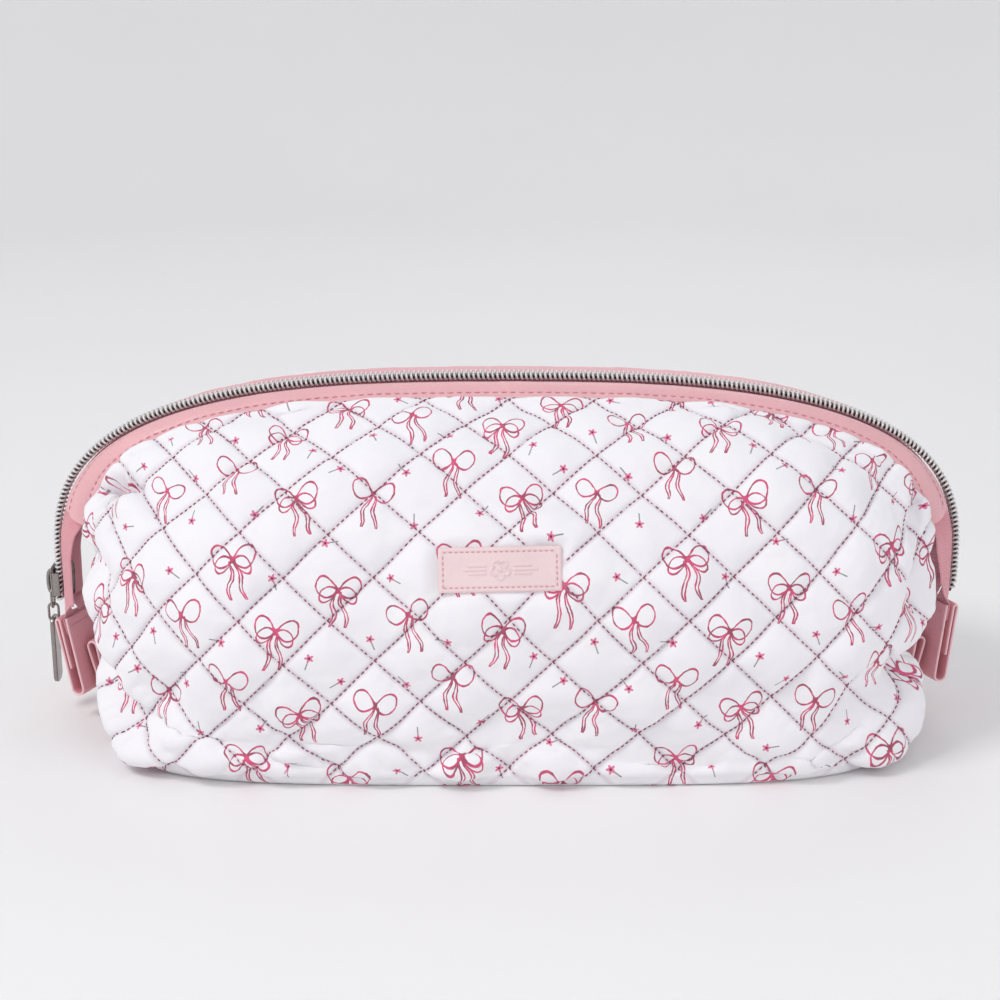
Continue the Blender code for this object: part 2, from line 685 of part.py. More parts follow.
def make_pull(parts, cutters, material):
    """A link round the bail, a link square to it, and a long plate with rounded ends."""
    x = outward_x(LINK_LIFT)
    upper = [(x, y, z) for y, z in stadium(UPPER_LINK_HALF_WIDTH, *UPPER_LINK_Z)]
    make_tube("link_upper", upper, LINK_RADIUS, True, parts, material)
    lower = [(x + side, 0, z) for side, z in stadium(LOWER_LINK_HALF_WIDTH, *LOWER_LINK_Z)]
    make_tube("link_lower", lower, LINK_RADIUS, True, parts, material)

    thick, wide, tall = PLATE_SIZE
    bottom_z = PLATE_TOP_Z - tall
    outline = []
    corner = PLATE_CORNER
    for cy, cz, first in (
        (wide / 2 - corner, PLATE_TOP_Z - corner, 0),
        (corner - wide / 2, PLATE_TOP_Z - corner, 90),
        (corner - wide / 2, bottom_z + corner, 180),
        (wide / 2 - corner, bottom_z + corner, 270),
    ):
        for angle in np.radians(np.linspace(first, first + 90, 6)):
            outline.append((cy + corner * math.cos(angle), cz + corner * math.sin(angle)))
    size = len(outline)
    points = [(x + side * thick / 2, y, z) for side in (-1, 1) for y, z in outline]
    faces = [tuple(range(size)), tuple(range(size, 2 * size))]
    faces += [(k, (k + 1) % size, (k + 1) % size + size, k + size) for k in range(size)]
    plate = add_object("pull_tab", mesh_from("pull_tab", points, faces), parts, material)

    bpy.ops.mesh.primitive_cylinder_add(vertices=16, radius=PLATE_HOLE_RADIUS, depth=3 * thick)
    hole = as_guide(bpy.context.active_object)
    hole.name = "pull_hole"
    hole.location = (x, 0, PLATE_TOP_Z - PLATE_HOLE_DROP)
    hole.rotation_euler = Euler((0, math.pi / 2, 0))
    for old in list(hole.users_collection):
        old.objects.unlink(hole)
    cutters.objects.link(hole)
    boolean(plate, hole, "DIFFERENCE")


def main():
    clear_scene()
    parts = new_collection("makeup_bag")
    cutters = new_collection("cutters")
    look = {
        "quilt": new_material("quilted_cotton", (0.90, 0.88, 0.90), 0.85),
        "lining": new_material("lining", (0.85, 0.60, 0.65), 0.8),
        "band": new_material("faux_leather", (0.84, 0.43, 0.48), 0.45),
        "tape": new_material("zip_tape", (0.72, 0.30, 0.36), 0.85),
        "coil": new_material("zip_coil", (0.62, 0.62, 0.63), 0.35, 0.8),
        "steel": new_material("spring_steel", (0.55, 0.55, 0.56), 0.3, 1.0),
        "metal": new_material("bright_metal", (0.60, 0.58, 0.56), 0.22, 1.0),
    }
    for half in (FRONT, BACK):
        label = half_name(half)
        make_frame(half, parts, cutters, look)
        make_shell(f"outer_{label}_panel", 0.0, PANEL_THICKNESS, half, parts, look["quilt"])
        make_shell(f"lining_{label}", *LINING_OFFSETS, half, parts, look["lining"])
        for end in (LEFT, RIGHT):
            make_tail(end, half, parts, look)
    make_slab("base_panel", 0.0010, 0.0, BASE_THICKNESS, parts, look["quilt"])
    lining_low = BASE_THICKNESS + GAP
    make_slab("lining_base", 0.0050, lining_low, lining_low + 0.0008, parts, look["lining"])
    make_label(parts, look["band"])
    for end in (LEFT, RIGHT):
        make_end_tab(end, parts, look["band"])
        make_side_loop(end, parts, look["band"])
    make_slider(parts, cutters, look["metal"])
    make_pull(parts, cutters, look["metal"])


main()
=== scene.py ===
"""Looks of the quilted makeup bag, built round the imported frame.

The outer cloth, its lining, the bands, the zip, the straps and the metal parts are made here as fine
meshes in the places that the frame's solids hold. Lengths are in metres, except the cloth's own
coordinates (the "cloth" attribute), which are in millimetres along and up the cloth.
"""

import math

import bpy
import numpy as np
from mathutils import Euler, Matrix, Vector, noise


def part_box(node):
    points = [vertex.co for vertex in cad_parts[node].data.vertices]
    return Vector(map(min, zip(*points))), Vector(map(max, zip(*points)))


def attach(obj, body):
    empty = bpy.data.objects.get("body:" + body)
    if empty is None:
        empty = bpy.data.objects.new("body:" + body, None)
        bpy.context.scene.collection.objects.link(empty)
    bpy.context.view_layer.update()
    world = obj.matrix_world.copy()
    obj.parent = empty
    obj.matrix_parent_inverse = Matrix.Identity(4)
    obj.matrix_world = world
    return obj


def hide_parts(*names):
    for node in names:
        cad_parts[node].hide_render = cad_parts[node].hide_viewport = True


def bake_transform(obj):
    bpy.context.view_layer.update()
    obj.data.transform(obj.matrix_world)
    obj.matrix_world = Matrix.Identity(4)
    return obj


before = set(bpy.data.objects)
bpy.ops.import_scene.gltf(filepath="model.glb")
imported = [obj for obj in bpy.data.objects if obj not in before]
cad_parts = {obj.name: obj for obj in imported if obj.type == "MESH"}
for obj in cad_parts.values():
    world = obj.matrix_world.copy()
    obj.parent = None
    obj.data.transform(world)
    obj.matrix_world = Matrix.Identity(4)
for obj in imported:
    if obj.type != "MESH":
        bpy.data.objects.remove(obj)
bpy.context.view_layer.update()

MM = 0.001
FRONT, BACK = -1, 1
LEFT, RIGHT = -1, 1

# ---- The frame's own dimensions, the same as in the design ----
ARCH_HALF_LENGTH = 0.136
ARCH_SPRING_Z = 0.050
ARCH_RISE = 0.0565
ARCH_POWER = 2.8
FRAME_FOOT_Z = 0.066
CHAIN_FLAT = 0.0034
SLOPE_AT_TOP = math.radians(14)
SLOPE_AT_FOOT = math.radians(62)
BAND_END_SKEW = 0.15
PANEL_EDGE_ACROSS = 0.0163
PANEL_EDGE_LIFT = 0.0024
FOOT_SHARE = 0.94
SEAM_TOP = (0.1215, 0.058)
BASE_HALF_LENGTH = 0.1165
BASE_HALF_DEPTH = 0.058
BASE_POWER = 4.2
SEAM_PINCH = 0.0055
SEAM_PINCH_DEPTH = 0.013
BASE_THICKNESS = 0.0024
PANEL_FOOT_Z = 0.003
PANEL_PULLS = (
    (0.00, (0.000, -0.044, -0.005), (0.000, -0.014, 0.040)),
    (0.70, (0.001, -0.038, -0.007), (0.004, -0.010, 0.028)),
    (0.85, (-0.001, -0.026, -0.010), (0.002, -0.004, 0.018)),
    (0.94, (-0.003, -0.011, -0.013), (-0.001, -0.001, 0.011)),
    (1.00, (-0.003, 0.000, -0.020), (-0.001, 0.000, 0.008)),
)
LABEL_SIZE = (0.034, 0.0012, 0.0125)
LABEL_Z = 0.0665
LABEL_ROLL = math.radians(-1.2)
STRAP_WIDTH = 0.016
STRAP_THICKNESS = 0.0010
TAB_HEIGHT = 0.0245
TAB_FOLD_RADIUS = 0.0020
TAB_TUCK_RADIUS = 0.0007
TAB_TUCK_END_Z = 0.0085
TAB_SLOT_X = 0.0013
TAB_SLOT_DEPTH = 0.005
TAB_TOP = {LEFT: (-0.1338, 0.0325), RIGHT: (0.1335, 0.0370)}
TAB_LEAN = {LEFT: math.radians(12), RIGHT: math.radians(7)}
TAB_YAW = math.radians(23)
TAIL_BEND_Z = {LEFT: 0.0362, RIGHT: 0.0440}
TAIL_FLAT_Z = {LEFT: 0.0500, RIGHT: 0.0420}
TAPE_HALF_WIDTH = 0.0150
TAIL_HALF_WIDTH = (0.0118, 0.0094)
TAIL_HALF_WIDTH_IN_TAB = 0.0072
TAIL_FLAT = 0.0053
TAIL_SLOPE = math.radians(52)
TAIL_COIL_END_Z = {LEFT: 0.0370, RIGHT: 0.0395}
TAPE_MIDDLE_LIFT = -0.0010
LOOP_LENGTH = 0.0165
LOOP_APEX_RADIUS = 0.0016
LOOP_ROOT_SPACING = 0.0015
LOOP_ROOT = {LEFT: (-0.1212, 0.0085), RIGHT: (0.1214, 0.0100)}
LOOP_LEAN = {LEFT: math.radians(14), RIGHT: math.radians(12)}
SLIDER_Z = (0.0375, 0.0480)
POST_HEIGHT = 0.0030
PARTING_RUN = 0.0030
PARTING = 0.0010

# ---- The cloth and its quilting ----
PANEL_COLUMNS = 385
PANEL_ROWS = 153
TUCK_ROWS = 4                    # rows added above, under the band, and below, under the base
TUCK_IN, TUCK_DOWN = 1.6 * MM, 1.7 * MM
CURL_IN = 2.6 * MM
ROW_MARGIN = 0.9                 # cloth between two of those rows
INNER_STEP = 4                   # the hidden inner skin has one point for this many outer ones
HALF_GIRTH = 155.0               # half the panel's width along the cloth
DIAMOND = 24.0                   # a quilting diamond's diagonal
LINE_SPACING = DIAMOND / math.sqrt(2)
QUILT_SHIFT = (0.4, 3.4)         # where a crossing of the quilting lines falls
QUILT_LINES = (-14, 20)          # the numbers of the first quilting line and the one after the last
PILLOW_HEIGHT = 2.6 * MM
PILLOW_POWER = 0.62
GATHER_PITCH = 3.7               # the cloth puckers at this pitch along its stitched lines
GATHER_HEIGHT = 0.24 * MM
SEAM_DEPTH = 0.42 * MM
SKIN_THICKNESS = 1.8 * MM
LINING_DEPTH = (2.7 * MM, 3.3 * MM)
LINING_FOOT_Z = 2.9 * MM
STITCH_PITCH = 1.70
STITCH_LENGTH = 1.25
STITCH_RADIUS = 0.185 * MM
STITCH_LIFT = 0.22 * MM
STITCH_MARGINS = (1.5, 1.0, 0.8)  # no stitches this near the side seams, the base and the band
BAND_TUCK = 1.5 * MM             # how far the cloth dips along its top edge to pass under the band
BAND_TUCK_RUN = 3.0
LOWEST_CLOTH = 0.4 * MM
MIDDLE_GAP = 0.1 * MM            # the cloth's smallest distance from the bag's middle plane
LINING_STEP = 2                  # the lining has one point for this many of the panel's

# The simulation that settles each panel's cloth, held at its edges.
SIM_STEP = 4                     # the simulated cloth has one point for this many of the panel's
SIM_FRAMES = 18
SIM_EASE = 0.05                  # how much larger the cloth is than the space it settles in
SIM_GRAVITY = 0.4                # as a share of full gravity
SIM_LIMIT = 3.5 * MM             # how far the cloth may move
SIM_LABEL_FADE = 14.0            # it moves fully from this far from the label, and not at all under it
SIM_CLOTH = {
    "quality": 6, "mass": 0.15, "air_damping": 2.0, "bending_stiffness": 0.6,
    "tension_stiffness": 8.0, "compression_stiffness": 8.0, "shear_stiffness": 8.0,
    "shrink_min": -SIM_EASE, "use_pressure": True, "uniform_pressure_force": 0.15,
}

# The print: a tile that repeats, with bows at (across, up, turn in degrees, size) in it.
TILE = 60.0
PRINT_SHIFT = {FRONT: (0.0, 0.0, 0), BACK: (23.0, 11.0, 0)}
BOW_MIDDLE = (0, 3.5, 0)         # from a bow's knot to the middle of the whole bow
WIDE_LOOPS = (-0.26, 1.40, 5.9)  # how they tilt, how flat they are and how far they reach
HUNG_LOOPS = (0.42, 1.20, 4.9)
SINGLE_BELOW = 0.96              # a bow smaller than this has no hung loops
RIBBON_LENGTH = 10.5
LINE_SOFTNESS = 0.14
SHADE_REACH = 1.9                # the painted shade reaches this far from a quilting line
WEAVE_PITCH = 0.42
BOWS = (
    (15.3, 0.0, 4, 1.00), (33.6, -7.6, -8, 0.92), (58.8, -11.4, 10, 0.98), (47.4, -52.2, -5, 1.02),
    (24.0, -33.0, 12, 0.95), (4.0, -34.8, -10, 1.00), (45.3, -24.6, 6, 0.94),
)
FLOWERS = (
    (23.4, -13.8), (7.2, -18.6), (15.3, -25.8), (44.1, -14.4), (32.8, -27.4),
    (35.1, -42.7), (52.6, -39.6), (11.9, -47.0), (29.2, -56.6), (57.7, -56.6),
)


# ---- Small numeric helpers ----
def smooth_step(share):
    share = np.clip(share, 0.0, 1.0)
    return share * share * (3 - 2 * share)


def unit(vectors):
    return vectors / np.maximum(np.linalg.norm(vectors, axis=-1, keepdims=True), 1e-12)


def noise_at(x, y, z=0.0):
    """Perlin noise, from about -1 to 1, at arrays of places."""
    places = np.stack(np.broadcast_arrays(x, y, z), axis=-1)
    flat = [noise.noise(Vector(p)) for p in places.reshape(-1, 3)]
    return np.array(flat).reshape(places.shape[:-1]) * 1.6


def smooth_through(x, knots, values):
    """A smooth curve through a few values: cubic Hermite with central slopes, level at the start."""
    knots, values = np.array(knots, float), np.array(values, float)
    slopes = np.gradient(values, knots)
    slopes[0] = 0.0
    k = np.clip(np.searchsorted(knots, x) - 1, 0, len(knots) - 2)
    width = knots[k + 1] - knots[k]
    t = (x - knots[k]) / width
    start, end = values[k], values[k + 1]
    return (
        start * (1 + 2 * t) * (1 - t) ** 2 + slopes[k] * width * t * (1 - t) ** 2
        + end * t * t * (3 - 2 * t) + slopes[k + 1] * width * t * t * (t - 1)
    )


def signed_power(value, power):
    """A cosine or a sine made squarer, by a power below 1, or rounder."""
    return np.sign(value) * np.abs(value) ** power


def full_turn(count):
    """Angles evenly round a circle."""
    return np.linspace(0, 2 * math.pi, count, endpoint=False)


def moved_by(points, matrix):
    matrix = np.array(matrix)
    return points @ matrix[:3, :3].T + matrix[:3, 3]


def lengths_along(line):
    steps = np.linalg.norm(np.diff(line, axis=0), axis=1)
    return np.concatenate([[0.0], np.cumsum(steps)])


def respaced(line, step):
    """A smooth curve through a line's points, with points about a step apart."""
    line = np.array(line, float)
    at = lengths_along(line)
    count = max(int(at[-1] / step), 2) + 1
    places = np.linspace(0, at[-1], count)
    return np.column_stack([np.interp(places, at, line[:, i]) for i in range(line.shape[1])])


# ---- Meshes ----
def signed_volume(points, faces):
    total = 0.0
    for face in faces:
        corners = points[np.asarray(face)]
        for k in range(1, corners.shape[-2] - 1):
            a, b, c = corners[..., 0, :], corners[..., k, :], corners[..., k + 1, :]
            total += float((a * np.cross(b, c)).sum())
    return total


def loft(rings, closed=False):
    """A closed skin through rings of points: (points, quads, end caps)."""
    n, m = rings.shape[:2]
    index = np.arange(n * m).reshape(n, m)
    side = np.roll(index, -1, axis=1)
    if closed:
        ahead, ahead_side = np.roll(index, -1, axis=0), np.roll(side, -1, axis=0)
        quads = np.stack([index, side, ahead_side, ahead], axis=-1)
        caps = []
    else:
        quads = np.stack([index[:-1], side[:-1], side[1:], index[1:]], axis=-1)
        caps = [index[0][::-1], index[-1]]
    return rings.reshape(-1, 3), quads.reshape(-1, 4), caps


def joined(shapes):
    """Several (points, quads, caps) as one."""
    points, quads, caps, count = [], [], [], 0
    for p, q, c in shapes:
        points.append(p)
        quads.append(q + count)
        caps += [cap + count for cap in c]
        count += len(p)
    return np.concatenate(points), np.concatenate(quads), caps


def turned_outward(shape):
    points, quads, caps = shape
    if signed_volume(points, [quads, *caps]) >= 0:
        return shape
    return points, quads[:, ::-1], [cap[::-1] for cap in caps]


def make_piece(name, shape, material, body=None, slot=None, replaces=(), sharp=None, **attributes):
    """One object from (points, quads, caps). Attributes are arrays of a value for each point."""
    points, quads, caps = turned_outward(shape)
    faces = quads.tolist() + [cap.tolist() for cap in caps]
    mesh = bpy.data.meshes.new(name)
    mesh.from_pydata(points.tolist(), [], faces)
    mesh.shade_smooth()
    if sharp:
        mesh.set_sharp_from_angle(angle=math.radians(sharp))
    for label, values in attributes.items():
        values = np.asarray(values, np.float32)
        if values.ndim == 1:
            mesh.attributes.new(label, "FLOAT", "POINT").data.foreach_set("value", values)
        else:
            layer = mesh.attributes.new(label, "FLOAT_VECTOR", "POINT")
            layer.data.foreach_set("vector", values.ravel())
    mesh.materials.append(material)
    piece = bpy.data.objects.new(name, mesh)
    bpy.context.scene.collection.objects.link(piece)
    if body:
        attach(piece, body)
    if replaces:
        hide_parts(*replaces)
    return piece


def tube(line, radius, outward, sides=8, closed=False):
    """A round wire along a line; outward is a direction for each point that isn't along the line."""
    if closed:
        tangent = unit(np.roll(line, -1, axis=0) - np.roll(line, 1, axis=0))
    else:
        tangent = unit(np.gradient(line, axis=0))
    normal = unit(outward - (outward * tangent).sum(1, keepdims=True) * tangent)
    binormal = np.cross(tangent, normal)
    turn = full_turn(sides)[None, :, None]
    radius = np.broadcast_to(radius, len(line))[:, None, None]
    around = np.cos(turn) * normal[:, None] + np.sin(turn) * binormal[:, None]
    return loft(line[:, None] + radius * around, closed)


def spindles(starts, ends, up, radius, lift):
    """Many short stitches: each a thin spindle from a start to an end, bowed up in its middle."""
    shares = np.array([0.04, 0.28, 0.5, 0.72, 0.96])
    fat = np.array([0.45, 0.95, 1.0, 0.95, 0.45])
    bow = 1 - (2 * shares - 1) ** 2
    along = unit(ends - starts)
    side = unit(np.cross(up, along))
    top = np.cross(along, side)
    middle = starts[:, None] + (ends - starts)[:, None] * shares[None, :, None]
    middle = middle + top[:, None] * (bow * lift - 0.3 * radius)[None, :, None]
    turn = full_turn(6)
    around = np.cos(turn)[None, :, None] * side[:, None] + np.sin(turn)[None, :, None] * top[:, None]
    rings = middle[:, :, None] + radius * fat[None, :, None, None] * around[:, None]
    count, levels, sides = rings.shape[:3]
    index = np.arange(count * levels * sides).reshape(count, levels, sides)
    step = np.roll(index, -1, axis=2)
    quads = np.stack([index[:, :-1], step[:, :-1], step[:, 1:], index[:, 1:]], axis=-1)
    caps = [ring[::-1] for ring in index[:, 0]] + [ring for ring in index[:, -1]]
    return rings.reshape(-1, 3), quads.reshape(-1, 4), caps


# ---- Material helpers ----
def tone(red, green, blue):
    """A linear colour from values of 0 to 255 as a screen shows them."""
    shares = np.array([red, green, blue]) / 255
    linear = np.where(shares > 0.04045, ((shares + 0.055) / 1.055) ** 2.4, shares / 12.92)
    return (*[float(v) for v in linear], 1.0)


def darkened(colour, share):
    return (*[value * share for value in colour[:3]], 1.0)


class Graph:
    """A Principled material and short ways to add nodes to it. Inputs are numbers or sockets."""

    def __init__(self, name, roughness=0.5, metallic=0.0, sheen=0.0, coat=0.0):
        self.material = bpy.data.materials.new(name)
        self.material.use_nodes = True
        self.tree = self.material.node_tree
        self.shader = self.tree.nodes["Principled BSDF"]
        self.shader.inputs["Roughness"].default_value = roughness
        self.shader.inputs["Metallic"].default_value = metallic
        self.shader.inputs["Sheen Weight"].default_value = sheen
        self.shader.inputs["Coat Weight"].default_value = coat

    def put(self, value, socket):
        if isinstance(value, bpy.types.NodeSocket):
            self.tree.links.new(value, socket)
        else:
            socket.default_value = value

    def node(self, kind, inputs=(), output=0, **settings):
        made = self.tree.nodes.new(kind)
        for key, value in settings.items():
            setattr(made, key, value)
        for key, value in dict(inputs).items():
            self.put(value, made.inputs[key])
        return made.outputs[output]

    def math(self, operation, a, b=0.0, c=0.0):
        return self.node("ShaderNodeMath", {0: a, 1: b, 2: c}, operation=operation)

    def times(self, a, b):
        return self.math("MULTIPLY", a, b)

    def times_plus(self, a, b, c):
        return self.math("MULTIPLY_ADD", a, b, c)

    def plus(self, a, b):
        return self.math("ADD", a, b)

    def minus(self, a, b):
        return self.math("SUBTRACT", a, b)

    def least(self, a, b):
        return self.math("MINIMUM", a, b)

    def absolute(self, a):
        return self.math("ABSOLUTE", a)

    def vector(self, operation, a, b=(0, 0, 0), c=(0, 0, 0)):
        output = 1 if operation in ("LENGTH", "DOT_PRODUCT", "DISTANCE") else 0
        return self.node("ShaderNodeVectorMath", {0: a, 1: b, 2: c}, output, operation=operation)

    def mix(self, factor, a, b, kind="RGBA"):
        first, output = {"FLOAT": (2, 0), "VECTOR": (4, 1), "RGBA": (6, 2)}[kind]
        inputs = {0: factor, first: a, first + 1: b}
        return self.node("ShaderNodeMix", inputs, output, data_type=kind)

    def step(self, value, low, high):
        """0 below low, 1 above high and smooth between; low may be above high."""
        inputs = {0: value, 1: low, 2: high}
        return self.node("ShaderNodeMapRange", inputs, interpolation_type="SMOOTHSTEP")

    def noise(self, where, scale, detail=2.0):
        inputs = {"Vector": where, "Scale": scale, "Detail": detail}
        return self.node("ShaderNodeTexNoise", inputs)

    def turned(self, vector, degrees):
        inputs = {"Vector": vector, "Axis": (0, 0, 1), "Angle": self.math("RADIANS", degrees)}
        return self.node("ShaderNodeVectorRotate", inputs, rotation_type="AXIS_ANGLE")

    def ribs(self, value, pitch):
        """A wave from -1 to 1 along a value, which repeats at every pitch."""
        return self.math("SINE", self.math("MULTIPLY", value, 2 * math.pi / pitch))

    def attribute(self, name, output="Vector"):
        return self.node("ShaderNodeAttribute", output=output, attribute_name=name)

    def split(self, vector):
        made = self.tree.nodes.new("ShaderNodeSeparateXYZ")
        self.put(vector, made.inputs[0])
        return made.outputs[0], made.outputs[1]

    def place(self):
        return self.node("ShaderNodeTexCoord", output="Object")

    def colour(self, value):
        self.put(value, self.shader.inputs["Base Color"])

    def roughness(self, value):
        self.put(value, self.shader.inputs["Roughness"])

    def bump(self, height, distance, strength=1.0):
        inputs = {"Height": height, "Distance": distance, "Strength": strength}
        made = self.node("ShaderNodeBump", inputs)
        self.put(made, self.shader.inputs["Normal"])


def nearest_motif(g, cloth, places):
    """The vector from the nearest of a tile's motifs, and that motif's turn and size."""
    best, best_length, best_turn, best_size = None, None, None, None
    half = TILE / 2
    for x, y, turn, size in places:
        away = g.vector("WRAP", g.vector("SUBTRACT", cloth, (x, y, 0)), (half, half, 1), (-half, -half, -1))
        length = g.vector("LENGTH", g.vector("ADD", away, BOW_MIDDLE) if size else away)
        if best is None:
            best, best_length, best_turn, best_size = away, length, turn, size
            continue
        nearer = g.math("LESS_THAN", length, best_length)
        best = g.mix(nearer, best, away, "VECTOR")
        best_turn = g.mix(nearer, best_turn, turn, "FLOAT")
        best_size = g.mix(nearer, best_size, size, "FLOAT")
        best_length = g.least(best_length, length)
    return best, best_turn, best_size


def loop_outline(g, x, y, shape):
    """Distance from the outline of a bow's two loops, which is a lemniscate that tilts at its ends."""
    tilt, flatness, reach = shape
    y = g.math("DIVIDE", g.times_plus(g.absolute(x), tilt, y), flatness)
    radius2 = g.plus(g.times(x, x), g.times(y, y))
    twice = g.times(radius2, 2.0)
    spread = g.minus(g.times(x, x), g.times(y, y))
    value = g.times_plus(spread, -reach * reach, g.times(radius2, radius2))
    across = g.times(x, g.minus(twice, reach * reach))
    up = g.times(y, g.plus(twice, reach * reach))
    slope = g.math("SQRT", g.plus(g.times(across, across), g.times(up, up)))
    slope = g.math("MAXIMUM", g.times(slope, 2.0), 0.35 * reach**3)
    return g.math("DIVIDE", g.absolute(value), slope)


def bow_print(g, cloth):
    """How much of a bow's line falls on each place."""
    away, turn, size = nearest_motif(g, cloth, BOWS)
    wobble = g.noise(cloth, 0.35)
    local = g.turned(away, turn)
    local = g.vector("DIVIDE", local, g.node("ShaderNodeCombineXYZ", {0: size, 1: size, 2: size}))
    x, y = g.split(local)
    x = g.plus(x, g.times_plus(wobble, 0.9, -0.45))

    # Two wide loops, and on the larger bows two small ones that hang.
    single = g.math("LESS_THAN", size, SINGLE_BELOW)
    loops = loop_outline(g, x, y, WIDE_LOOPS)
    hung = loop_outline(g, x, y, HUNG_LOOPS)
    loops = g.least(loops, g.times_plus(single, 9.0, hung))

    # Two tails that part, wave and close to a point.
    run = g.math("DIVIDE", y, -RIBBON_LENGTH)
    share = g.math("MAXIMUM", g.least(run, 1.0), 0.0)
    wave = g.math("SINE", g.times_plus(y, 0.75, turn))
    swung = g.plus(g.times_plus(wave, 0.55, x), g.times(y, 0.06))
    swung = g.absolute(swung)
    parted = g.times_plus(g.math("POWER", share, 0.8), 1.7, 0.35)
    from_middle = g.absolute(g.minus(swung, parted))
    width = g.times(g.math("SINE", g.times(share, 2.7)), 0.42)
    tails = g.absolute(g.minus(from_middle, width))
    outside = g.plus(g.math("GREATER_THAN", y, -0.3), g.math("GREATER_THAN", run, 1.0))
    tails = g.plus(tails, outside)

    # The knot.
    knot = g.vector("DIVIDE", g.node("ShaderNodeCombineXYZ", {0: x, 1: y}), (0.7, 0.8, 1))
    knot = g.minus(g.vector("LENGTH", knot), 0.5)

    nearest = g.least(g.least(loops, tails), knot)
    thin = g.times_plus(g.noise(cloth, 0.55), 0.32, -0.02)
    return g.step(nearest, g.plus(thin, LINE_SOFTNESS), thin)


def flower_print(g, cloth):
    """How much of a small flower's petals, heart and stem falls on each place."""
    places = [(x, y, 40.0 * k, 0.0) for k, (x, y) in enumerate(FLOWERS)]
    away, turn, _ = nearest_motif(g, cloth, places)
    x, y = g.split(g.turned(away, turn))
    radius = g.vector("LENGTH", away)
    angle = g.math("ARCTAN2", y, x)
    edge = g.times_plus(g.math("COSINE", g.times(angle, 5.0)), 0.30, 0.92)
    petals = g.step(g.minus(radius, edge), 0.12, -0.05)
    heart = g.step(radius, 0.42, 0.25)
    curve = g.absolute(g.times_plus(y, 0.35, x))
    from_middle = g.absolute(g.plus(y, 2.2))
    stem = g.times(g.step(curve, 0.26, 0.10), g.step(from_middle, 1.15, 0.95))
    return petals, heart, stem


def painted_seam_shade(g, place):
    """Painted shade along the quilting lines: 1 on them and 0 a little way from them, where the cloth is
    pulled down.
    """
    x, y = g.split(g.vector("SUBTRACT", place, (*QUILT_SHIFT, 0)))
    rising = g.math("PINGPONG", g.plus(x, y), DIAMOND / 2)
    falling = g.math("PINGPONG", g.minus(x, y), DIAMOND / 2)
    return g.step(g.least(rising, falling), SHADE_REACH, 0.1)


def cotton_material(name, half):
    """White printed cotton with a fine weave."""
    g = Graph(name, roughness=0.86, sheen=0.12)
    place = g.attribute("cloth")
    cloth = g.vector("MULTIPLY", g.vector("ADD", place, PRINT_SHIFT[half]), (1, 1, 0))
    line = bow_print(g, cloth)
    petals, heart, stem = flower_print(g, cloth)
    shade = g.noise(cloth, 0.05, 3.0)
    white = g.mix(shade, tone(243, 241, 246), tone(250, 249, 252))
    ink = g.mix(g.step(g.noise(cloth, 0.30), 0.35, 0.65), tone(146, 8, 62), tone(220, 46, 112))
    ink = g.mix(g.times(g.noise(cloth, 1.4, 3.0), 0.18), ink, tone(238, 150, 180))
    colour = g.mix(g.times(petals, 0.85), white, tone(222, 88, 138))
    colour = g.mix(heart, colour, tone(140, 20, 66))
    colour = g.mix(g.times(stem, 0.8), colour, tone(92, 104, 100))
    colour = g.mix(g.times(line, 0.95), colour, ink)
    # Painted shade: the colour darkens towards a greyish pink along the quilting lines, where the cloth
    # dips.
    painted_shade_share = g.times(painted_seam_shade(g, place), 0.24)
    g.colour(g.mix(painted_shade_share, colour, tone(188, 148, 172)))
    x, y = g.split(place)
    weave = g.times(g.ribs(x, WEAVE_PITCH), g.ribs(y, WEAVE_PITCH))
    weave = g.times_plus(weave, 0.5, g.noise(cloth, 2.6, 3.0))
    g.bump(weave, 0.05 * MM, 0.6)
    return g.material


def leather_material(name, colour, edge_colour, roughness=0.42, grain=0.9):
    """Faux leather: fine pebbled grain, painted edges and a soft gloss."""
    g = Graph(name, roughness=roughness, coat=0.08)
    place = g.place()
    tint = g.noise(place, 60.0)
    body = g.mix(tint, darkened(colour, 0.86), colour)
    edge = g.attribute("edge", "Fac")
    g.colour(g.mix(g.step(edge, 0.35, 0.75), body, edge_colour))
    inputs = {"Vector": place, "Scale": 1900.0, "Randomness": 0.9}
    pebbles = g.node("ShaderNodeTexVoronoi", inputs, "Distance", feature="SMOOTH_F1")
    creases = g.noise(place, 420.0, 4.0)
    height = g.times_plus(creases, 0.8, pebbles)
    g.roughness(g.times_plus(creases, 0.22, roughness - 0.08))
    g.bump(height, 0.13 * MM, grain)
    return g.material


def tape_material():
    """Woven zip tape: fine herringbone ribs and slight fading."""
    g = Graph("woven_tape", roughness=0.8, sheen=0.2)
    cloth = g.attribute("cloth")
    x, y = g.split(cloth)
    rib = g.ribs(y, 0.75)
    pick = g.math("SINE", g.times_plus(rib, 0.9, g.times(x, 2 * math.pi / 0.62)))
    weave = g.times_plus(g.times(rib, pick), 0.5, 0.5)
    shade = g.times(weave, g.times_plus(g.noise(cloth, 0.25, 3.0), 0.5, 0.75))
    g.colour(g.mix(shade, tone(214, 134, 146), tone(246, 188, 196)))
    g.bump(weave, 0.16 * MM, 0.9)
    return g.material


def satin_material():
    """The lining's polyester: a fine twill with a little sheen."""
    g = Graph("lining_cloth", roughness=0.48, sheen=0.3)
    cloth = g.attribute("cloth")
    x, y = g.split(cloth)
    twill = g.ribs(g.plus(x, y), 0.55)
    shade = g.times_plus(twill, 0.12, g.noise(cloth, 0.06, 3.0))
    g.colour(g.mix(shade, tone(226, 160, 172), tone(244, 196, 204)))
    g.bump(twill, 0.04 * MM, 0.6)
    return g.material


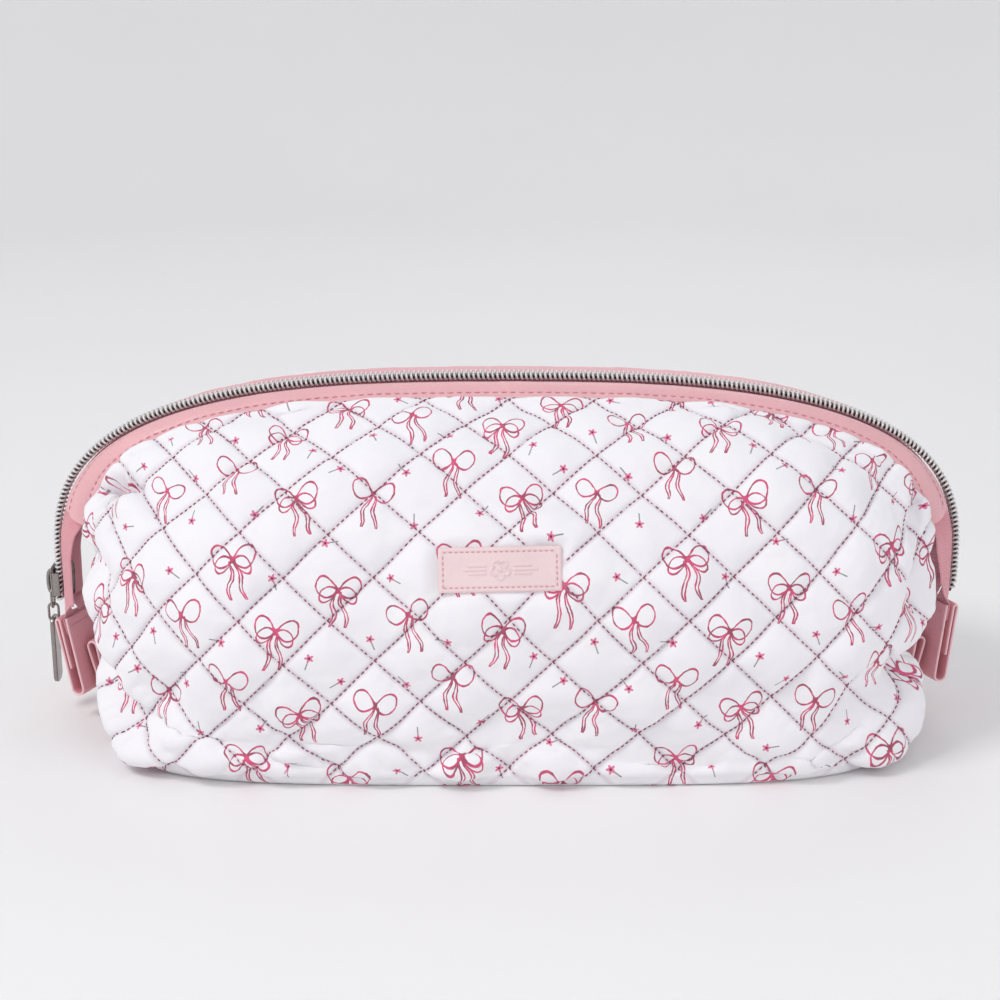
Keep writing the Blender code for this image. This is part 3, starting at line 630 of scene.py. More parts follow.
def thread_material(name, dark, light):
    """Sewing thread: two tones that change along the seam, with a twist in the bump."""
    g = Graph(name, roughness=0.62, sheen=0.25)
    place = g.place()
    g.colour(g.mix(g.noise(place, 160.0), dark, light))
    inputs = {"Vector": place, "Scale": 2600.0, "Distortion": 2.0}
    twist = g.node("ShaderNodeTexWave", inputs, "Fac")
    g.bump(twist, 0.05 * MM, 0.7)
    return g.material


def metal_material(name, colour, roughness):
    """Plated metal with hairline scratches and slightly duller patches."""
    g = Graph(name, roughness=roughness, metallic=1.0)
    place = g.place()
    patches = g.noise(place, 240.0, 3.0)
    g.colour(g.mix(patches, darkened(colour, 0.82), colour))
    stretched = g.vector("MULTIPLY", place, (1.0, 1.0, 0.06))
    scratches = g.noise(stretched, 5200.0)
    g.roughness(g.times_plus(patches, 0.18, roughness - 0.05))
    g.bump(scratches, 0.012 * MM, 0.5)
    return g.material


def coil_material():
    """Silvery nylon coil: bright on its crowns and grey where it is worn."""
    g = Graph("silver_coil", roughness=0.30, metallic=0.2)
    place = g.place()
    wear = g.noise(place, 900.0, 3.0)
    g.colour(g.mix(wear, tone(208, 204, 204), tone(246, 244, 243)))
    g.roughness(g.times_plus(wear, 0.25, 0.20))
    g.bump(g.noise(place, 4000.0), 0.02 * MM, 0.4)
    return g.material


def floor_material():
    g = Graph("pale_floor", roughness=0.55)
    place = g.place()
    g.colour(g.mix(g.noise(place, 3.0, 4.0), tone(243, 242, 242), tone(249, 248, 248)))
    g.bump(g.noise(place, 220.0, 3.0), 0.1 * MM, 0.15)
    return g.material


# ---- The zip's line ----
def arch_line():
    """Close points of the zip's line over the mouth, from its left foot to its right foot."""
    angle = np.linspace(math.pi, 0.0, 6001)
    power = 2 / ARCH_POWER
    x = ARCH_HALF_LENGTH * signed_power(np.cos(angle), power)
    z = ARCH_SPRING_Z + ARCH_RISE * np.abs(np.sin(angle)) ** power
    above = z >= FRAME_FOOT_Z
    return np.column_stack([x[above], z[above]])


def arch_x(z):
    rise = np.maximum(z - ARCH_SPRING_Z, 0.0) / ARCH_RISE
    return ARCH_HALF_LENGTH * (1 - rise**ARCH_POWER) ** (1 / ARCH_POWER)


def tail_line(end, z):
    """Distance of a zip tail from the middle of the bag at each height."""
    top_x, top_z = TAB_TOP[end]
    bend_z = TAIL_BEND_Z[end]
    in_slot = abs(top_x) - (top_z - z) * math.tan(TAB_LEAN[end])
    turned = smooth_step((bend_z - z) / (bend_z - top_z))
    return np.where(z >= bend_z, arch_x(z), arch_x(bend_z) * (1 - turned) + in_slot * turned)


def zip_line(low_z):
    """The whole zip's line, from the left tail's lowest height over the mouth to the right tail's."""
    tails = {}
    for end in (LEFT, RIGHT):
        z = np.linspace(low_z[end], FRAME_FOOT_Z, 600, endpoint=False)
        tails[end] = np.column_stack([end * tail_line(end, z), z])
    return np.concatenate([tails[LEFT], arch_line(), tails[RIGHT][::-1]])


class Run:
    """Stations at distances along a part of the zip's line, and the cloth's bend at each of them."""

    BEND_HALF = 0.0007       # half the length of the tape's bend
    STEP = 0.00025
    REACH = 0.0005           # how far to each side the line's direction is taken over
    TAB_EXIT = (0.0003, 0.0028)
    FLAT_RUN = 0.0070        # the tail's level part widens over this height below the frame
    NARROWING_RUN = 0.016

    def __init__(self, line, distances):
        at = lengths_along(line)

        def look(places):
            return np.column_stack([np.interp(places, at, line[:, i]) for i in (0, 1)])

        self.distances = distances
        x, z = look(distances).T
        forward = unit(look(distances + self.REACH) - look(distances - self.REACH))
        level = np.zeros(len(x))
        self.centre = np.column_stack([x, level, z])
        self.forward = np.column_stack([forward[:, 0], level, forward[:, 1]])
        out = np.column_stack([-forward[:, 1], level, forward[:, 0]])
        side = np.tile([0.0, 1.0, 0.0], (len(x), 1))
        left = x < 0

        def by_end(table):
            return np.where(left, table[LEFT], table[RIGHT])

        bend_z, flat_z = by_end(TAIL_BEND_Z), by_end(TAIL_FLAT_Z)
        top_z = np.where(left, TAB_TOP[LEFT][1], TAB_TOP[RIGHT][1])
        over = z >= FRAME_FOOT_Z
        on_arch = SLOPE_AT_TOP + (SLOPE_AT_FOOT - SLOPE_AT_TOP) * out[:, 0] ** 2
        hung = smooth_step((FRAME_FOOT_Z - z) / (FRAME_FOOT_Z - flat_z))
        free = smooth_step((z - top_z - self.TAB_EXIT[0]) / self.TAB_EXIT[1])
        on_tail = (SLOPE_AT_FOOT + (TAIL_SLOPE - SLOPE_AT_FOOT) * hung) * free
        self.slope = np.where(over, on_arch, on_tail)
        clear_of_slider = smooth_step((FRAME_FOOT_Z - z) / self.FLAT_RUN) * ~over
        self.flat = CHAIN_FLAT + (TAIL_FLAT - CHAIN_FLAT) * clear_of_slider
        twist = TAB_YAW * smooth_step((bend_z - z) / (bend_z - top_z)) * ~over
        twist = twist[:, None]
        self.side = side * np.cos(twist) - out * np.sin(twist)
        self.out = out * np.cos(twist) + side * np.sin(twist)
        wide, narrow = TAIL_HALF_WIDTH
        self.width = narrow + (wide - narrow) * smooth_step((z - flat_z) / self.NARROWING_RUN)
        self.width = TAIL_HALF_WIDTH_IN_TAB + (self.width - TAIL_HALF_WIDTH_IN_TAB) * free
        self.width = np.where(over, TAPE_HALF_WIDTH, self.width)
        parted = smooth_step((SLIDER_Z[0] + POST_HEIGHT + PARTING_RUN - z) / PARTING_RUN)
        self.parted = parted * PARTING * left
        self._bend()

    def _bend(self):
        """The tape's middle line at each station: level over the chain, then down at the slope."""
        places = np.arange(0, TAPE_HALF_WIDTH + 0.005, self.STEP)
        past = places[None, :] - self.flat[:, None]
        turned = smooth_step((past + self.BEND_HALF) / (2 * self.BEND_HALF))
        angle = self.slope[:, None] * turned
        self._angle = angle
        self._sideways = np.cumsum(np.cos(angle), axis=1) * self.STEP - self.STEP
        self._outward = -np.cumsum(np.sin(angle), axis=1) * self.STEP

    def place(self, half, across, lift, along=0.0):
        """Points of a section at every station. Each value is a number or an array (stations, places)."""
        across, lift, along = np.broadcast_arrays(np.atleast_2d(across), np.atleast_2d(lift), along)
        shape = (len(self.slope), across.shape[1])
        across, lift, along = (np.broadcast_to(v, shape) for v in (across, lift, along))
        index = np.clip(across / self.STEP, 0, self._angle.shape[1] - 1.001)
        whole = index.astype(int)
        part = index - whole

        def look(table):
            rows = np.arange(shape[0])[:, None]
            return table[rows, whole] * (1 - part) + table[rows, whole + 1] * part

        angle = look(self._angle)
        sideways = look(self._sideways) + np.minimum(across, 0) + lift * np.sin(angle)
        outward = look(self._outward) + lift * np.cos(angle)
        return (
            self.centre[:, None] + half * sideways[..., None] * self.side[:, None]
            + outward[..., None] * self.out[:, None] + along[..., None] * self.forward[:, None]
        )


def half_name(half):
    return "front" if half == FRONT else "back"


def end_name(end):
    return "left" if end == LEFT else "right"


def tail_nodes(kind, half):
    return [f"{end_name(end)}_tail_{kind}_{half_name(half)}" for end in (LEFT, RIGHT)]


def bend_zip(piece):
    """Bakes the zip piece's placement into its mesh."""
    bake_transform(piece)


# ---- The zip ----
COIL_PITCH = 1.42 * MM
COIL_STEPS = 16
COIL_WIRE = 0.36 * MM
COIL_MIDDLE = (1.45 * MM, 1.00 * MM)     # across and lift of the coil's axis
COIL_REACH = (1.50 * MM, 0.88 * MM)
COIL_SLANT = 0.16                        # how far a coil's turns lean, as a share of the pitch
CORE_RADIUS = 0.42 * MM
CORE_SHIFT = (0.55 * MM, -0.1 * MM)
TAPE_INNER = 0.3 * MM
TAPE_FACES = (-0.7 * MM, -1.3 * MM)
TAPE_THINNING = 0.25 * MM                # how much each face falls in at the tape's two edges
TAPE_RIPPLE = 0.10 * MM


def make_coil(half, material, core_material):
    """One side's coil, a squarish helix that meshes with the other side's, and the cord in it, coloured
    near black as painted shadow under the coil.
    """
    line = zip_line(TAIL_COIL_END_Z)
    turns = int(lengths_along(line)[-1] / COIL_PITCH) - 1
    turn = np.arange(turns * COIL_STEPS) / COIL_STEPS
    shift = 0.25 if half == FRONT else 0.75
    swing = 2 * math.pi * turn
    run = Run(line, COIL_PITCH * (turn + shift + COIL_SLANT * np.cos(swing)))
    across = COIL_MIDDLE[0] - COIL_REACH[0] * signed_power(np.cos(swing), 0.8) + run.parted
    lift = COIL_MIDDLE[1] + COIL_REACH[1] * signed_power(np.sin(swing), 0.7)
    points = run.place(half, across[:, None], lift[:, None])[:, 0]
    axis = run.place(half, (COIL_MIDDLE[0] + run.parted)[:, None], COIL_MIDDLE[1])[:, 0]
    shape = tube(points, COIL_WIRE, unit(points - axis), sides=7)
    name = half_name(half)
    nodes = [f"{name}_zip_coil", *tail_nodes("coil", half)]
    piece = make_piece(f"{name}_coil_teeth", shape, material, slot="zip_coil", replaces=nodes)
    bend_zip(piece)

    # The cord through the coil: a real part, but its near-black colour is painted shadow under the coil's
    # turns.
    run = Run(line, np.arange(1.0 * MM, lengths_along(line)[-1] - 1.0 * MM, 0.8 * MM))
    across = COIL_MIDDLE[0] + CORE_SHIFT[0] + run.parted
    core = run.place(half, across[:, None], COIL_MIDDLE[1] + CORE_SHIFT[1])
    shape = tube(core[:, 0], CORE_RADIUS, run.out)
    piece = make_piece(f"{name}_coil_cord", shape, core_material, slot="zip_coil")
    bend_zip(piece)


def make_tape(half, material):
    """One side's woven tape, from one end tab over the mouth to the other."""
    low = {end: TAB_TOP[end][1] - TAB_SLOT_DEPTH + TAPE_INNER for end in (LEFT, RIGHT)}
    line = zip_line(low)
    length = lengths_along(line)[-1]
    distances = np.linspace(0, length, int(length / (0.9 * MM)))
    run = Run(line, distances)
    share = np.linspace(0, 1, 22)[None, :]
    inner = TAPE_INNER + run.parted[:, None]
    across = inner + (run.width[:, None] - inner) * share
    ripple = TAPE_RIPPLE * noise_at(distances[:, None] / 0.006, share * 3.0, 4.0)
    ripple = ripple * smooth_step((FRAME_FOOT_Z + 0.001 - run.centre[:, 2:3]) / 0.01)
    thinned = TAPE_THINNING * (np.abs(share - 0.5) > 0.47)
    top = TAPE_FACES[0] + ripple - thinned
    under = TAPE_FACES[1] + ripple + thinned
    both = np.concatenate([across, across[:, ::-1]], axis=1)
    lift = np.concatenate([top, under[:, ::-1]], axis=1)
    shape = loft(run.place(half, both, lift))
    cloth = np.stack([np.broadcast_to(distances[:, None], both.shape), both, lift], axis=-1) / MM
    name = half_name(half)
    nodes = [f"{name}_zip_tape", *tail_nodes("tape", half)]
    piece = make_piece(f"{name}_woven_tape", shape, material, slot="zip_tape", replaces=nodes,
                       cloth=cloth.reshape(-1, 3))
    bend_zip(piece)


# ---- The bands ----
BAND_STATION_STEP = 0.65 * MM
BAND_FACE = (4.7 * MM, 16.5 * MM)        # the leather's two edges across the zip
BAND_SEAMS = (1.9 * MM, 9.9 * MM)        # the two stitch rows, from the edge by the zip
BAND_STITCH_PITCH = 2.6 * MM
BAND_STITCH_LENGTH = 1.9 * MM
BAND_PADDING = (0.55 * MM, 2.35 * MM, 1.15 * MM)   # height by the zip, rise over the wire, fall after it
BAND_CREST = (5.8 * MM, 6.2 * MM)
BAND_HOLLOW = (13.6 * MM, 1.6 * MM, 1.15 * MM)     # where the under side lifts, over what width, how far


def band_top(width_share, distances):
    """Height of a band's face: a padded middle over the wire, and a dip along each stitch row."""
    width = BAND_FACE[1] - BAND_FACE[0]
    from_edge = width_share * width
    edge = np.minimum(from_edge, width - from_edge)
    rise = smooth_step(from_edge / BAND_CREST[0])
    fall = smooth_step((from_edge - BAND_CREST[1]) / (width - BAND_CREST[1]))
    face = BAND_PADDING[0] + BAND_PADDING[1] * rise - BAND_PADDING[2] * fall
    face = face - 0.25 * MM * (1 - smooth_step(edge / (0.7 * MM))) ** 1.5
    pulled = 0.5 + 0.5 * np.cos(2 * math.pi * distances / BAND_STITCH_PITCH)
    for seam in BAND_SEAMS:
        groove = np.exp(-(((from_edge - seam) / (0.55 * MM)) ** 2))
        face = face - groove * (0.20 * MM + 0.14 * MM * pulled)
    wander = noise_at(distances / 0.009, width_share * 1.6, 2.0)
    fine = noise_at(distances / 0.0028, width_share * 2.2, 7.0)
    return face + (0.13 * MM * wander + 0.06 * MM * fine) * smooth_step(edge / (1.2 * MM))


def make_band(half, leather, thread):
    """The faux-leather casing over the frame wire, and its two rows of stitches."""
    line = arch_line()
    length = lengths_along(line)[-1]
    distances = np.linspace(0.0002, length - 0.0002, int(length / BAND_STATION_STEP))
    run = Run(line, distances)
    count = 30
    share = (1 - np.cos(np.linspace(0, math.pi, count))) / 2 * 0.55 + np.linspace(0, 1, count) * 0.45
    across = BAND_FACE[0] + (BAND_FACE[1] - BAND_FACE[0]) * share
    top = band_top(share[None, :], distances[:, None])
    # The under side lifts along the band's lower edge, where the cloth tucks in beneath it.
    start, run_up, lifted = BAND_HOLLOW
    under = -0.1 * MM + lifted * smooth_step((across - start) / run_up)
    under = np.broadcast_to(under[None, :], top.shape)
    both = np.concatenate([across, across[::-1]])
    lift = np.concatenate([top, under[:, ::-1]], axis=1)
    # The ends slant over the band's last four millimetres.
    ends = np.clip(np.abs(2 * distances / length - 1) - (1 - 4.0 * MM / length * 2), 0, 1)
    middle = sum(BAND_FACE) / 2
    at_end = smooth_step(ends / ends.max()) * np.sign(distances - length / 2)
    along = at_end[:, None] * BAND_END_SKEW * (both - middle)[None, :]
    rings = run.place(half, both[None, :], lift, along)
    edge = np.zeros(rings.shape[:2])
    edge[:, [0, count - 1, count, 2 * count - 1]] = 1.0
    name = half_name(half)
    make_piece(f"{name}_leather_band", loft(rings), leather, f"{name}_frame", "band",
               [f"{name}_band"], sharp=50, edge=edge.ravel())

    starts, finish, up = [], [], []
    centres = np.arange(BAND_STITCH_PITCH, length - BAND_STITCH_PITCH, BAND_STITCH_PITCH)
    seam_runs = [Run(line, centres + sign * BAND_STITCH_LENGTH / 2) for sign in (-1, 1)]
    for seam in BAND_SEAMS:
        place = BAND_FACE[0] + seam
        share = seam / (BAND_FACE[1] - BAND_FACE[0])
        for run, store in zip(seam_runs, (starts, finish)):
            height = band_top(np.array([[share]]), run.distances[:, None]) + 0.05 * MM
            store.append(run.place(half, place, height)[:, 0])
        low, high = (seam_runs[0].place(half, place, height)[:, 0] for height in (0.0, 10 * MM))
        up.append(high - low)
    shape = spindles(np.concatenate(starts), np.concatenate(finish), unit(np.concatenate(up)),
                     0.19 * MM, 0.12 * MM)
    make_piece(f"{name}_band_stitches", shape, thread, f"{name}_frame", "band")


# ---- The quilted panels ----
def base_outline(shares, half_length=BASE_HALF_LENGTH, half_depth=BASE_HALF_DEPTH):
    """The front half of the base's outline at shares from the left seam (0) to the right seam (1)."""
    angle = np.linspace(math.pi, 0.0, 4001)
    x = half_length * signed_power(np.cos(angle), 2 / BASE_POWER)
    y = -half_depth * np.abs(np.sin(angle)) ** (2 / BASE_POWER)
    x -= np.sign(x) * SEAM_PINCH * np.exp(-((y / SEAM_PINCH_DEPTH) ** 2)) * (np.abs(x) > half_depth)
    at = lengths_along(np.column_stack([x, y]))
    return np.interp(shares * at[-1], at, x), np.interp(shares * at[-1], at, y)


def panel_curves(positions):
    """The four Bezier points of the front panel at positions from -1 (left seam) to 1 (right)."""
    spread = np.abs(positions)
    sign = np.where(positions < 0, -1.0, 1.0)
    line = arch_line()
    along = np.minimum(spread / FOOT_SHARE, 1.0) * sign
    run = Run(line, (1 + along) / 2 * lengths_along(line)[-1])
    over = PANEL_EDGE_ACROSS - CHAIN_FLAT
    sideways = CHAIN_FLAT + over * np.cos(run.slope) + PANEL_EDGE_LIFT * np.sin(run.slope)
    outward = PANEL_EDGE_LIFT * np.cos(run.slope) - over * np.sin(run.slope)
    top = run.centre + FRONT * sideways[:, None] * run.side + outward[:, None] * run.out
    past = np.clip((spread - FOOT_SHARE) / (1 - FOOT_SHARE), 0, 1)[:, None]
    seam = np.column_stack([sign * SEAM_TOP[0], np.zeros(len(sign)), np.full(len(sign), SEAM_TOP[1])])
    top = top * (1 - past) + seam * past
    x, y = base_outline((1 + positions) / 2)
    base = np.column_stack([x, y, np.full(len(x), PANEL_FOOT_Z)])
    knots = [row[0] for row in PANEL_PULLS]
    pulls = []
    for which in (1, 2):
        parts = [smooth_through(spread, knots, [row[which][i] for row in PANEL_PULLS]) for i in range(3)]
        parts[0] = parts[0] * sign
        pulls.append(np.column_stack(parts))
    return top, top + pulls[0], base + pulls[1], base


def normals_of(grid):
    """Outward directions of a front panel's grid, whose rows run down and columns to the right."""
    return unit(np.cross(np.gradient(grid, axis=0), np.gradient(grid, axis=1)))


def panel_grid(columns, rows):
    """The panel's plain face as a grid, with u along the cloth and v up it, in millimetres."""
    positions = np.linspace(-1, 1, columns)
    a, b, c, d = (p[None] for p in panel_curves(positions))
    fall = np.linspace(0, 1, 300)[:, None, None]
    rise = 1 - fall
    dense = a * rise**3 + 3 * b * rise**2 * fall + 3 * c * rise * fall**2 + d * fall**3
    steps = np.linalg.norm(np.diff(dense, axis=0), axis=2)
    at = np.concatenate([np.zeros((1, columns)), np.cumsum(steps, axis=0)])
    grid, v = np.zeros((rows, columns, 3)), np.zeros((rows, columns))
    for k in range(columns):
        places = np.linspace(0, at[-1, k], rows)
        for i in range(3):
            grid[:, k, i] = np.interp(places, at[:, k], dense[:, k, i])
        v[:, k] = (at[-1, k] - places) / MM
    u = np.broadcast_to(positions * HALF_GIRTH, v.shape)
    return grid, u, v


# Folds in the cloth: (u, v, direction in degrees, half-length, half-width, depth), in millimetres.
# A fold of negative depth is a roll that stands out.
FOLDS = {
    FRONT: (
        (134, 31, 2, 28, 5.5, 9.0), (130, 9, 0, 28, 9.0, -5.0), (-132, 12, 0, 20, 9.0, -2.0),
        (98, 26, 60, 12, 6.0, 3.0), (124, 64, 80, 20, 4.5, 3.5),
        (-119, 85, 22, 12, 3.8, 8.0), (-134, 58, 6, 18, 5.0, 4.5), (-138, 32, -8, 16, 5.0, 3.0),
        (112, 78, -40, 18, 6.0, 2.6), (-104, 22, 30, 20, 7.0, 2.0), (-86, 8, 0, 22, 10.0, -2.6),
        (86, 8, 0, 22, 10.0, -2.6), (-40, 30, 12, 30, 9.0, 1.2), (36, 84, -14, 30, 8.0, 1.4),
        (132, 92, 40, 12, 5.0, 3.0), (-84, 92, 24, 24, 7.0, 1.8), (10, 18, -6, 40, 8.0, 1.0),
        (142, 20, 20, 12, 5.0, 2.4), (-144, 70, 75, 12, 4.0, 2.6), (142, 50, 100, 12, 4.0, 2.4),
    ),
    BACK: (
        (-130, 40, -6, 24, 6.0, 5.0), (128, 82, 140, 18, 6.0, 4.5), (-108, 70, 45, 18, 7.0, 2.4),
        (138, 48, 10, 16, 6.0, 3.2), (84, 24, 150, 26, 8.0, 2.2), (-20, 30, 8, 40, 9.0, 1.8),
        (50, 80, -20, 30, 8.0, 2.0), (-60, 88, 20, 26, 8.0, 1.8),
    ),
}


def fade_at_edges(u, v, v_top, side=9.0, top=7.0, foot=5.0):
    """1 in the panel's middle and 0 at its edges, over these distances."""
    shares = [(HALF_GIRTH - np.abs(u)) / side, (v_top - v) / top, v / foot]
    return np.prod([smooth_step(share) for share in shares], axis=0)


def sag(u, v, half):
    """How far the cloth stands out from its plain face before the quilting, in metres."""
    total = 1.9 * noise_at(u / 46, v / 34, 3.0 * half) + 0.9 * noise_at(u / 21, v / 17, 5.0 * half)
    for fold_u, fold_v, direction, long, wide, depth in FOLDS[half]:
        turn = math.radians(direction)
        du, dv = u - fold_u, v - fold_v
        along = (du * math.cos(turn) + dv * math.sin(turn)) / long
        off = (dv * math.cos(turn) - du * math.sin(turn)) / wide
        off = off + 0.5 * along**2
        valley = np.exp(-(off**2)) - 0.30 * np.exp(-((np.abs(off) - 2.0) ** 2))
        total = total - depth * valley * np.exp(-(along**4))
    return total * MM


def lattice(u, v):
    """Quilting coordinates: each stitched line is where one of them is a whole number."""
    du, dv = u - QUILT_SHIFT[0], v - QUILT_SHIFT[1]
    return (du + dv) / DIAMOND, (du - dv) / DIAMOND


def middle_column():
    """The front panel's middle from the band down: points, heights on the cloth and the label's row."""
    grid, _, v = panel_grid(3, 400)
    column = grid[:, 1]
    return column, v[:, 1], int(np.argmin(np.abs(column[:, 2] - LABEL_Z)))


def label_place():
    """The label's matrix: its centre and its tilt, which is the panel's own there."""
    low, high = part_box("label")
    column, _, row = middle_column()
    down = unit(column[row + 4] - column[row - 4])
    tilt = math.atan2(-down[1], -down[2])
    turn = Euler((-tilt, LABEL_ROLL, 0)).to_matrix().to_4x4()
    return Matrix.Translation((Vector(low) + Vector(high)) / 2) @ turn


def label_on_cloth():
    """The label's middle on the front panel's cloth, in millimetres along it and up it."""
    _, v, row = middle_column()
    return label_place().translation.x / MM, float(v[row])


LABEL_U, LABEL_V = label_on_cloth()


def label_cover(u, v, soft=3.0):
    """1 under the label, falling to 0 within a distance in millimetres around it."""
    across = (np.abs(u - LABEL_U) - LABEL_SIZE[0] / MM / 2) / soft
    up = (np.abs(v - LABEL_V) - LABEL_SIZE[2] / MM / 2) / soft
    return 1 - smooth_step(np.maximum(np.maximum(across, up), 0))


def quilting(u, v):
    """Height of the quilted relief over the sagged face, in metres."""
    s, t = lattice(u, v)
    ds, dt = np.abs(s - np.round(s)), np.abs(t - np.round(t))
    full = 0.82 + 0.36 * noise_at(np.floor(s) * 7.3 + 0.5, np.floor(t) * 3.7 + 0.5, 2.5)
    pillow = (np.abs(np.sin(math.pi * s)) * np.abs(np.sin(math.pi * t))) ** PILLOW_POWER
    height = PILLOW_HEIGHT * np.clip(full, 0.5, 1.25) * pillow
    along_s, along_t = t * LINE_SPACING, s * LINE_SPACING
    for away, along, seed in ((ds, along_s, 1.0), (dt, along_t, 6.0)):
        away = away * LINE_SPACING
        drift = noise_at(u / 5.5, v / 5.5, seed)
        gather = np.sin(2 * math.pi * along / GATHER_PITCH + 3.4 * drift)
        strength = 0.5 + 0.5 * noise_at(u / 13, v / 13, seed + 3)
        near = np.exp(-away / 3.0) * (1 - np.exp(-((away / 0.9) ** 2)))
        height = height + GATHER_HEIGHT * gather * strength * near
        height = height - SEAM_DEPTH * np.exp(-((away / 0.8) ** 2))
    crumple = noise_at(u / 7.5, v / 6.5, 9.0) * 0.34 + noise_at(u / 3.4, v / 3.0, 4.0) * 0.12
    return height + crumple * MM * np.minimum(pillow * 2, 1)


def cubic_weights(fine, coarse):
    """A matrix that turns values at coarse points into a smooth curve's values at fine points."""
    place = np.linspace(0, coarse - 1, fine)
    index = np.minimum(place.astype(int), coarse - 2)
    t = place - index
    parts = (
        (-1, -0.5 * t + t**2 - 0.5 * t**3), (0, 1 - 2.5 * t**2 + 1.5 * t**3),
        (1, 0.5 * t + 2 * t**2 - 1.5 * t**3), (2, -0.5 * t**2 + 0.5 * t**3),
    )
    weights = np.zeros((fine, coarse))
    for shift, weight in parts:
        np.add.at(weights, (np.arange(fine), np.clip(index + shift, 0, coarse - 1)), weight)
    return weights


def simulated(grid):
    """How far the cloth moves when it is a little too large for its frame and settles, in metres."""
    rows, columns = grid.shape[:2]
    index = np.arange(rows * columns).reshape(rows, columns)
    quads = np.stack([index[:-1, :-1], index[1:, :-1], index[1:, 1:], index[:-1, 1:]], axis=-1)
    mesh = bpy.data.meshes.new("settling_cloth")
    mesh.from_pydata(grid.reshape(-1, 3).tolist(), [], quads.reshape(-1, 4).tolist())
    thing = bpy.data.objects.new("settling_cloth", mesh)
    scene = bpy.context.scene
    scene.collection.objects.link(thing)
    held = thing.vertex_groups.new(name="held")
    edge = np.concatenate([index[0], index[-1], index[1:-1, 0], index[1:-1, -1]])
    held.add(edge.tolist(), 1.0, "REPLACE")
    cloth = thing.modifiers.new("settle", "CLOTH")
    for setting, value in SIM_CLOTH.items():
        setattr(cloth.settings, setting, value)
    cloth.settings.vertex_group_mass = "held"
    cloth.settings.effector_weights.gravity = SIM_GRAVITY
    cloth.collision_settings.use_collision = False
    for frame_number in range(1, SIM_FRAMES + 1):
        scene.frame_set(frame_number)
    settled = thing.evaluated_get(bpy.context.evaluated_depsgraph_get())
    places = np.zeros(rows * columns * 3)
    settled.data.vertices.foreach_get("co", places)
    moved = places.reshape(rows, columns, 3) - grid
    bpy.data.objects.remove(thing)
    bpy.data.meshes.remove(mesh)
    scene.frame_set(1)
    length = np.linalg.norm(moved, axis=-1, keepdims=True)
    return moved * SIM_LIMIT * np.tanh(length / SIM_LIMIT) / np.maximum(length, 1e-9)


class Panel:
    """A quilted panel's finished face: its grid of points, their directions and cloth coordinates."""

    def __init__(self, half):
        self.half = half
        grid, u, v = panel_grid(PANEL_COLUMNS, PANEL_ROWS)
        v_top = v[:1]
        fade = fade_at_edges(u, v, v_top)
        plain = normals_of(grid)
        sagged = grid + plain * (sag(u, v, half) * fade)[..., None]
        moved = simulated(sagged[::SIM_STEP, ::SIM_STEP])
        down = cubic_weights(PANEL_ROWS, moved.shape[0])
        across = cubic_weights(PANEL_COLUMNS, moved.shape[1])
        moved = np.einsum("ri,ijk,cj->rck", down, moved, across)
        if half == FRONT:
            moved = moved * (1 - label_cover(u, v, SIM_LABEL_FADE))[..., None]
        sagged = sagged + moved * fade[..., None]
        self.formed = sagged
        self.formed_normals = normals_of(sagged)
        relief = quilting(u, v) * fade_at_edges(u, v, v_top, side=5.0, top=3.2, foot=1.8)
        if half == FRONT:
            cover = label_cover(u, v)
            relief = relief * (1 - cover) + 0.25 * MM * cover
        under_band = BAND_TUCK * np.exp(-(v_top - v) / BAND_TUCK_RUN)
        self.face = sagged + self.formed_normals * (relief - under_band)[..., None]
        self.face[..., 2] = np.maximum(self.face[..., 2], LOWEST_CLOTH)
        self.normals = normals_of(self.face)
        self.u, self.v = u, v

    def at(self, u, v):
        """Points of the face and its directions at places on the cloth."""
        column = np.clip((u / HALF_GIRTH + 1) / 2 * (PANEL_COLUMNS - 1), 0, PANEL_COLUMNS - 1.001)
        left = column.astype(int)
        part = column - left
        tall = self.v[0, left] * (1 - part) + self.v[0, left + 1] * part
        row = np.clip((1 - v / tall) * (PANEL_ROWS - 1), 0, PANEL_ROWS - 1.001)
        above = row.astype(int)
        down = row - above
        part, down = part[:, None], down[:, None]

        def look(table):
            sides = table[:, left] * (1 - part) + table[:, left + 1] * part
            places = np.arange(len(above))
            return sides[above, places] * (1 - down) + sides[above + 1, places] * down

        return look(self.face), unit(look(self.normals))

    def mirrored(self, points):
        """A front panel's points as this panel has them."""
        return points * np.array([1.0, -self.half, 1.0])


def edge_rows(panel, surface):
    """The cloth's hidden margins: rows that tuck in under the band, and rows that curl under the base."""
    top, foot = surface[0], surface[-1]
    inward = unit(top - surface[3])
    normal = panel.formed_normals[0]
    seam_share = smooth_step((HALF_GIRTH - np.abs(panel.u[0])) / 9.0)[:, None]
    level = np.array([1.0, 1.0, 0.0])
    upper, lower = [], []
    for k in range(1, TUCK_ROWS + 1):
        share = k / TUCK_ROWS
        tuck = inward * TUCK_IN * share - normal * TUCK_DOWN * share**0.8
        upper.insert(0, top + tuck * seam_share)
        pull = -unit(foot * level) * CURL_IN * share**2
        drop = np.array([0.0, 0.0, -(PANEL_FOOT_Z - 0.25 * MM)]) * math.sin(share * math.pi / 2)
        lower.append(foot + pull + drop)
    return np.concatenate([np.stack(upper), surface, np.stack(lower)])


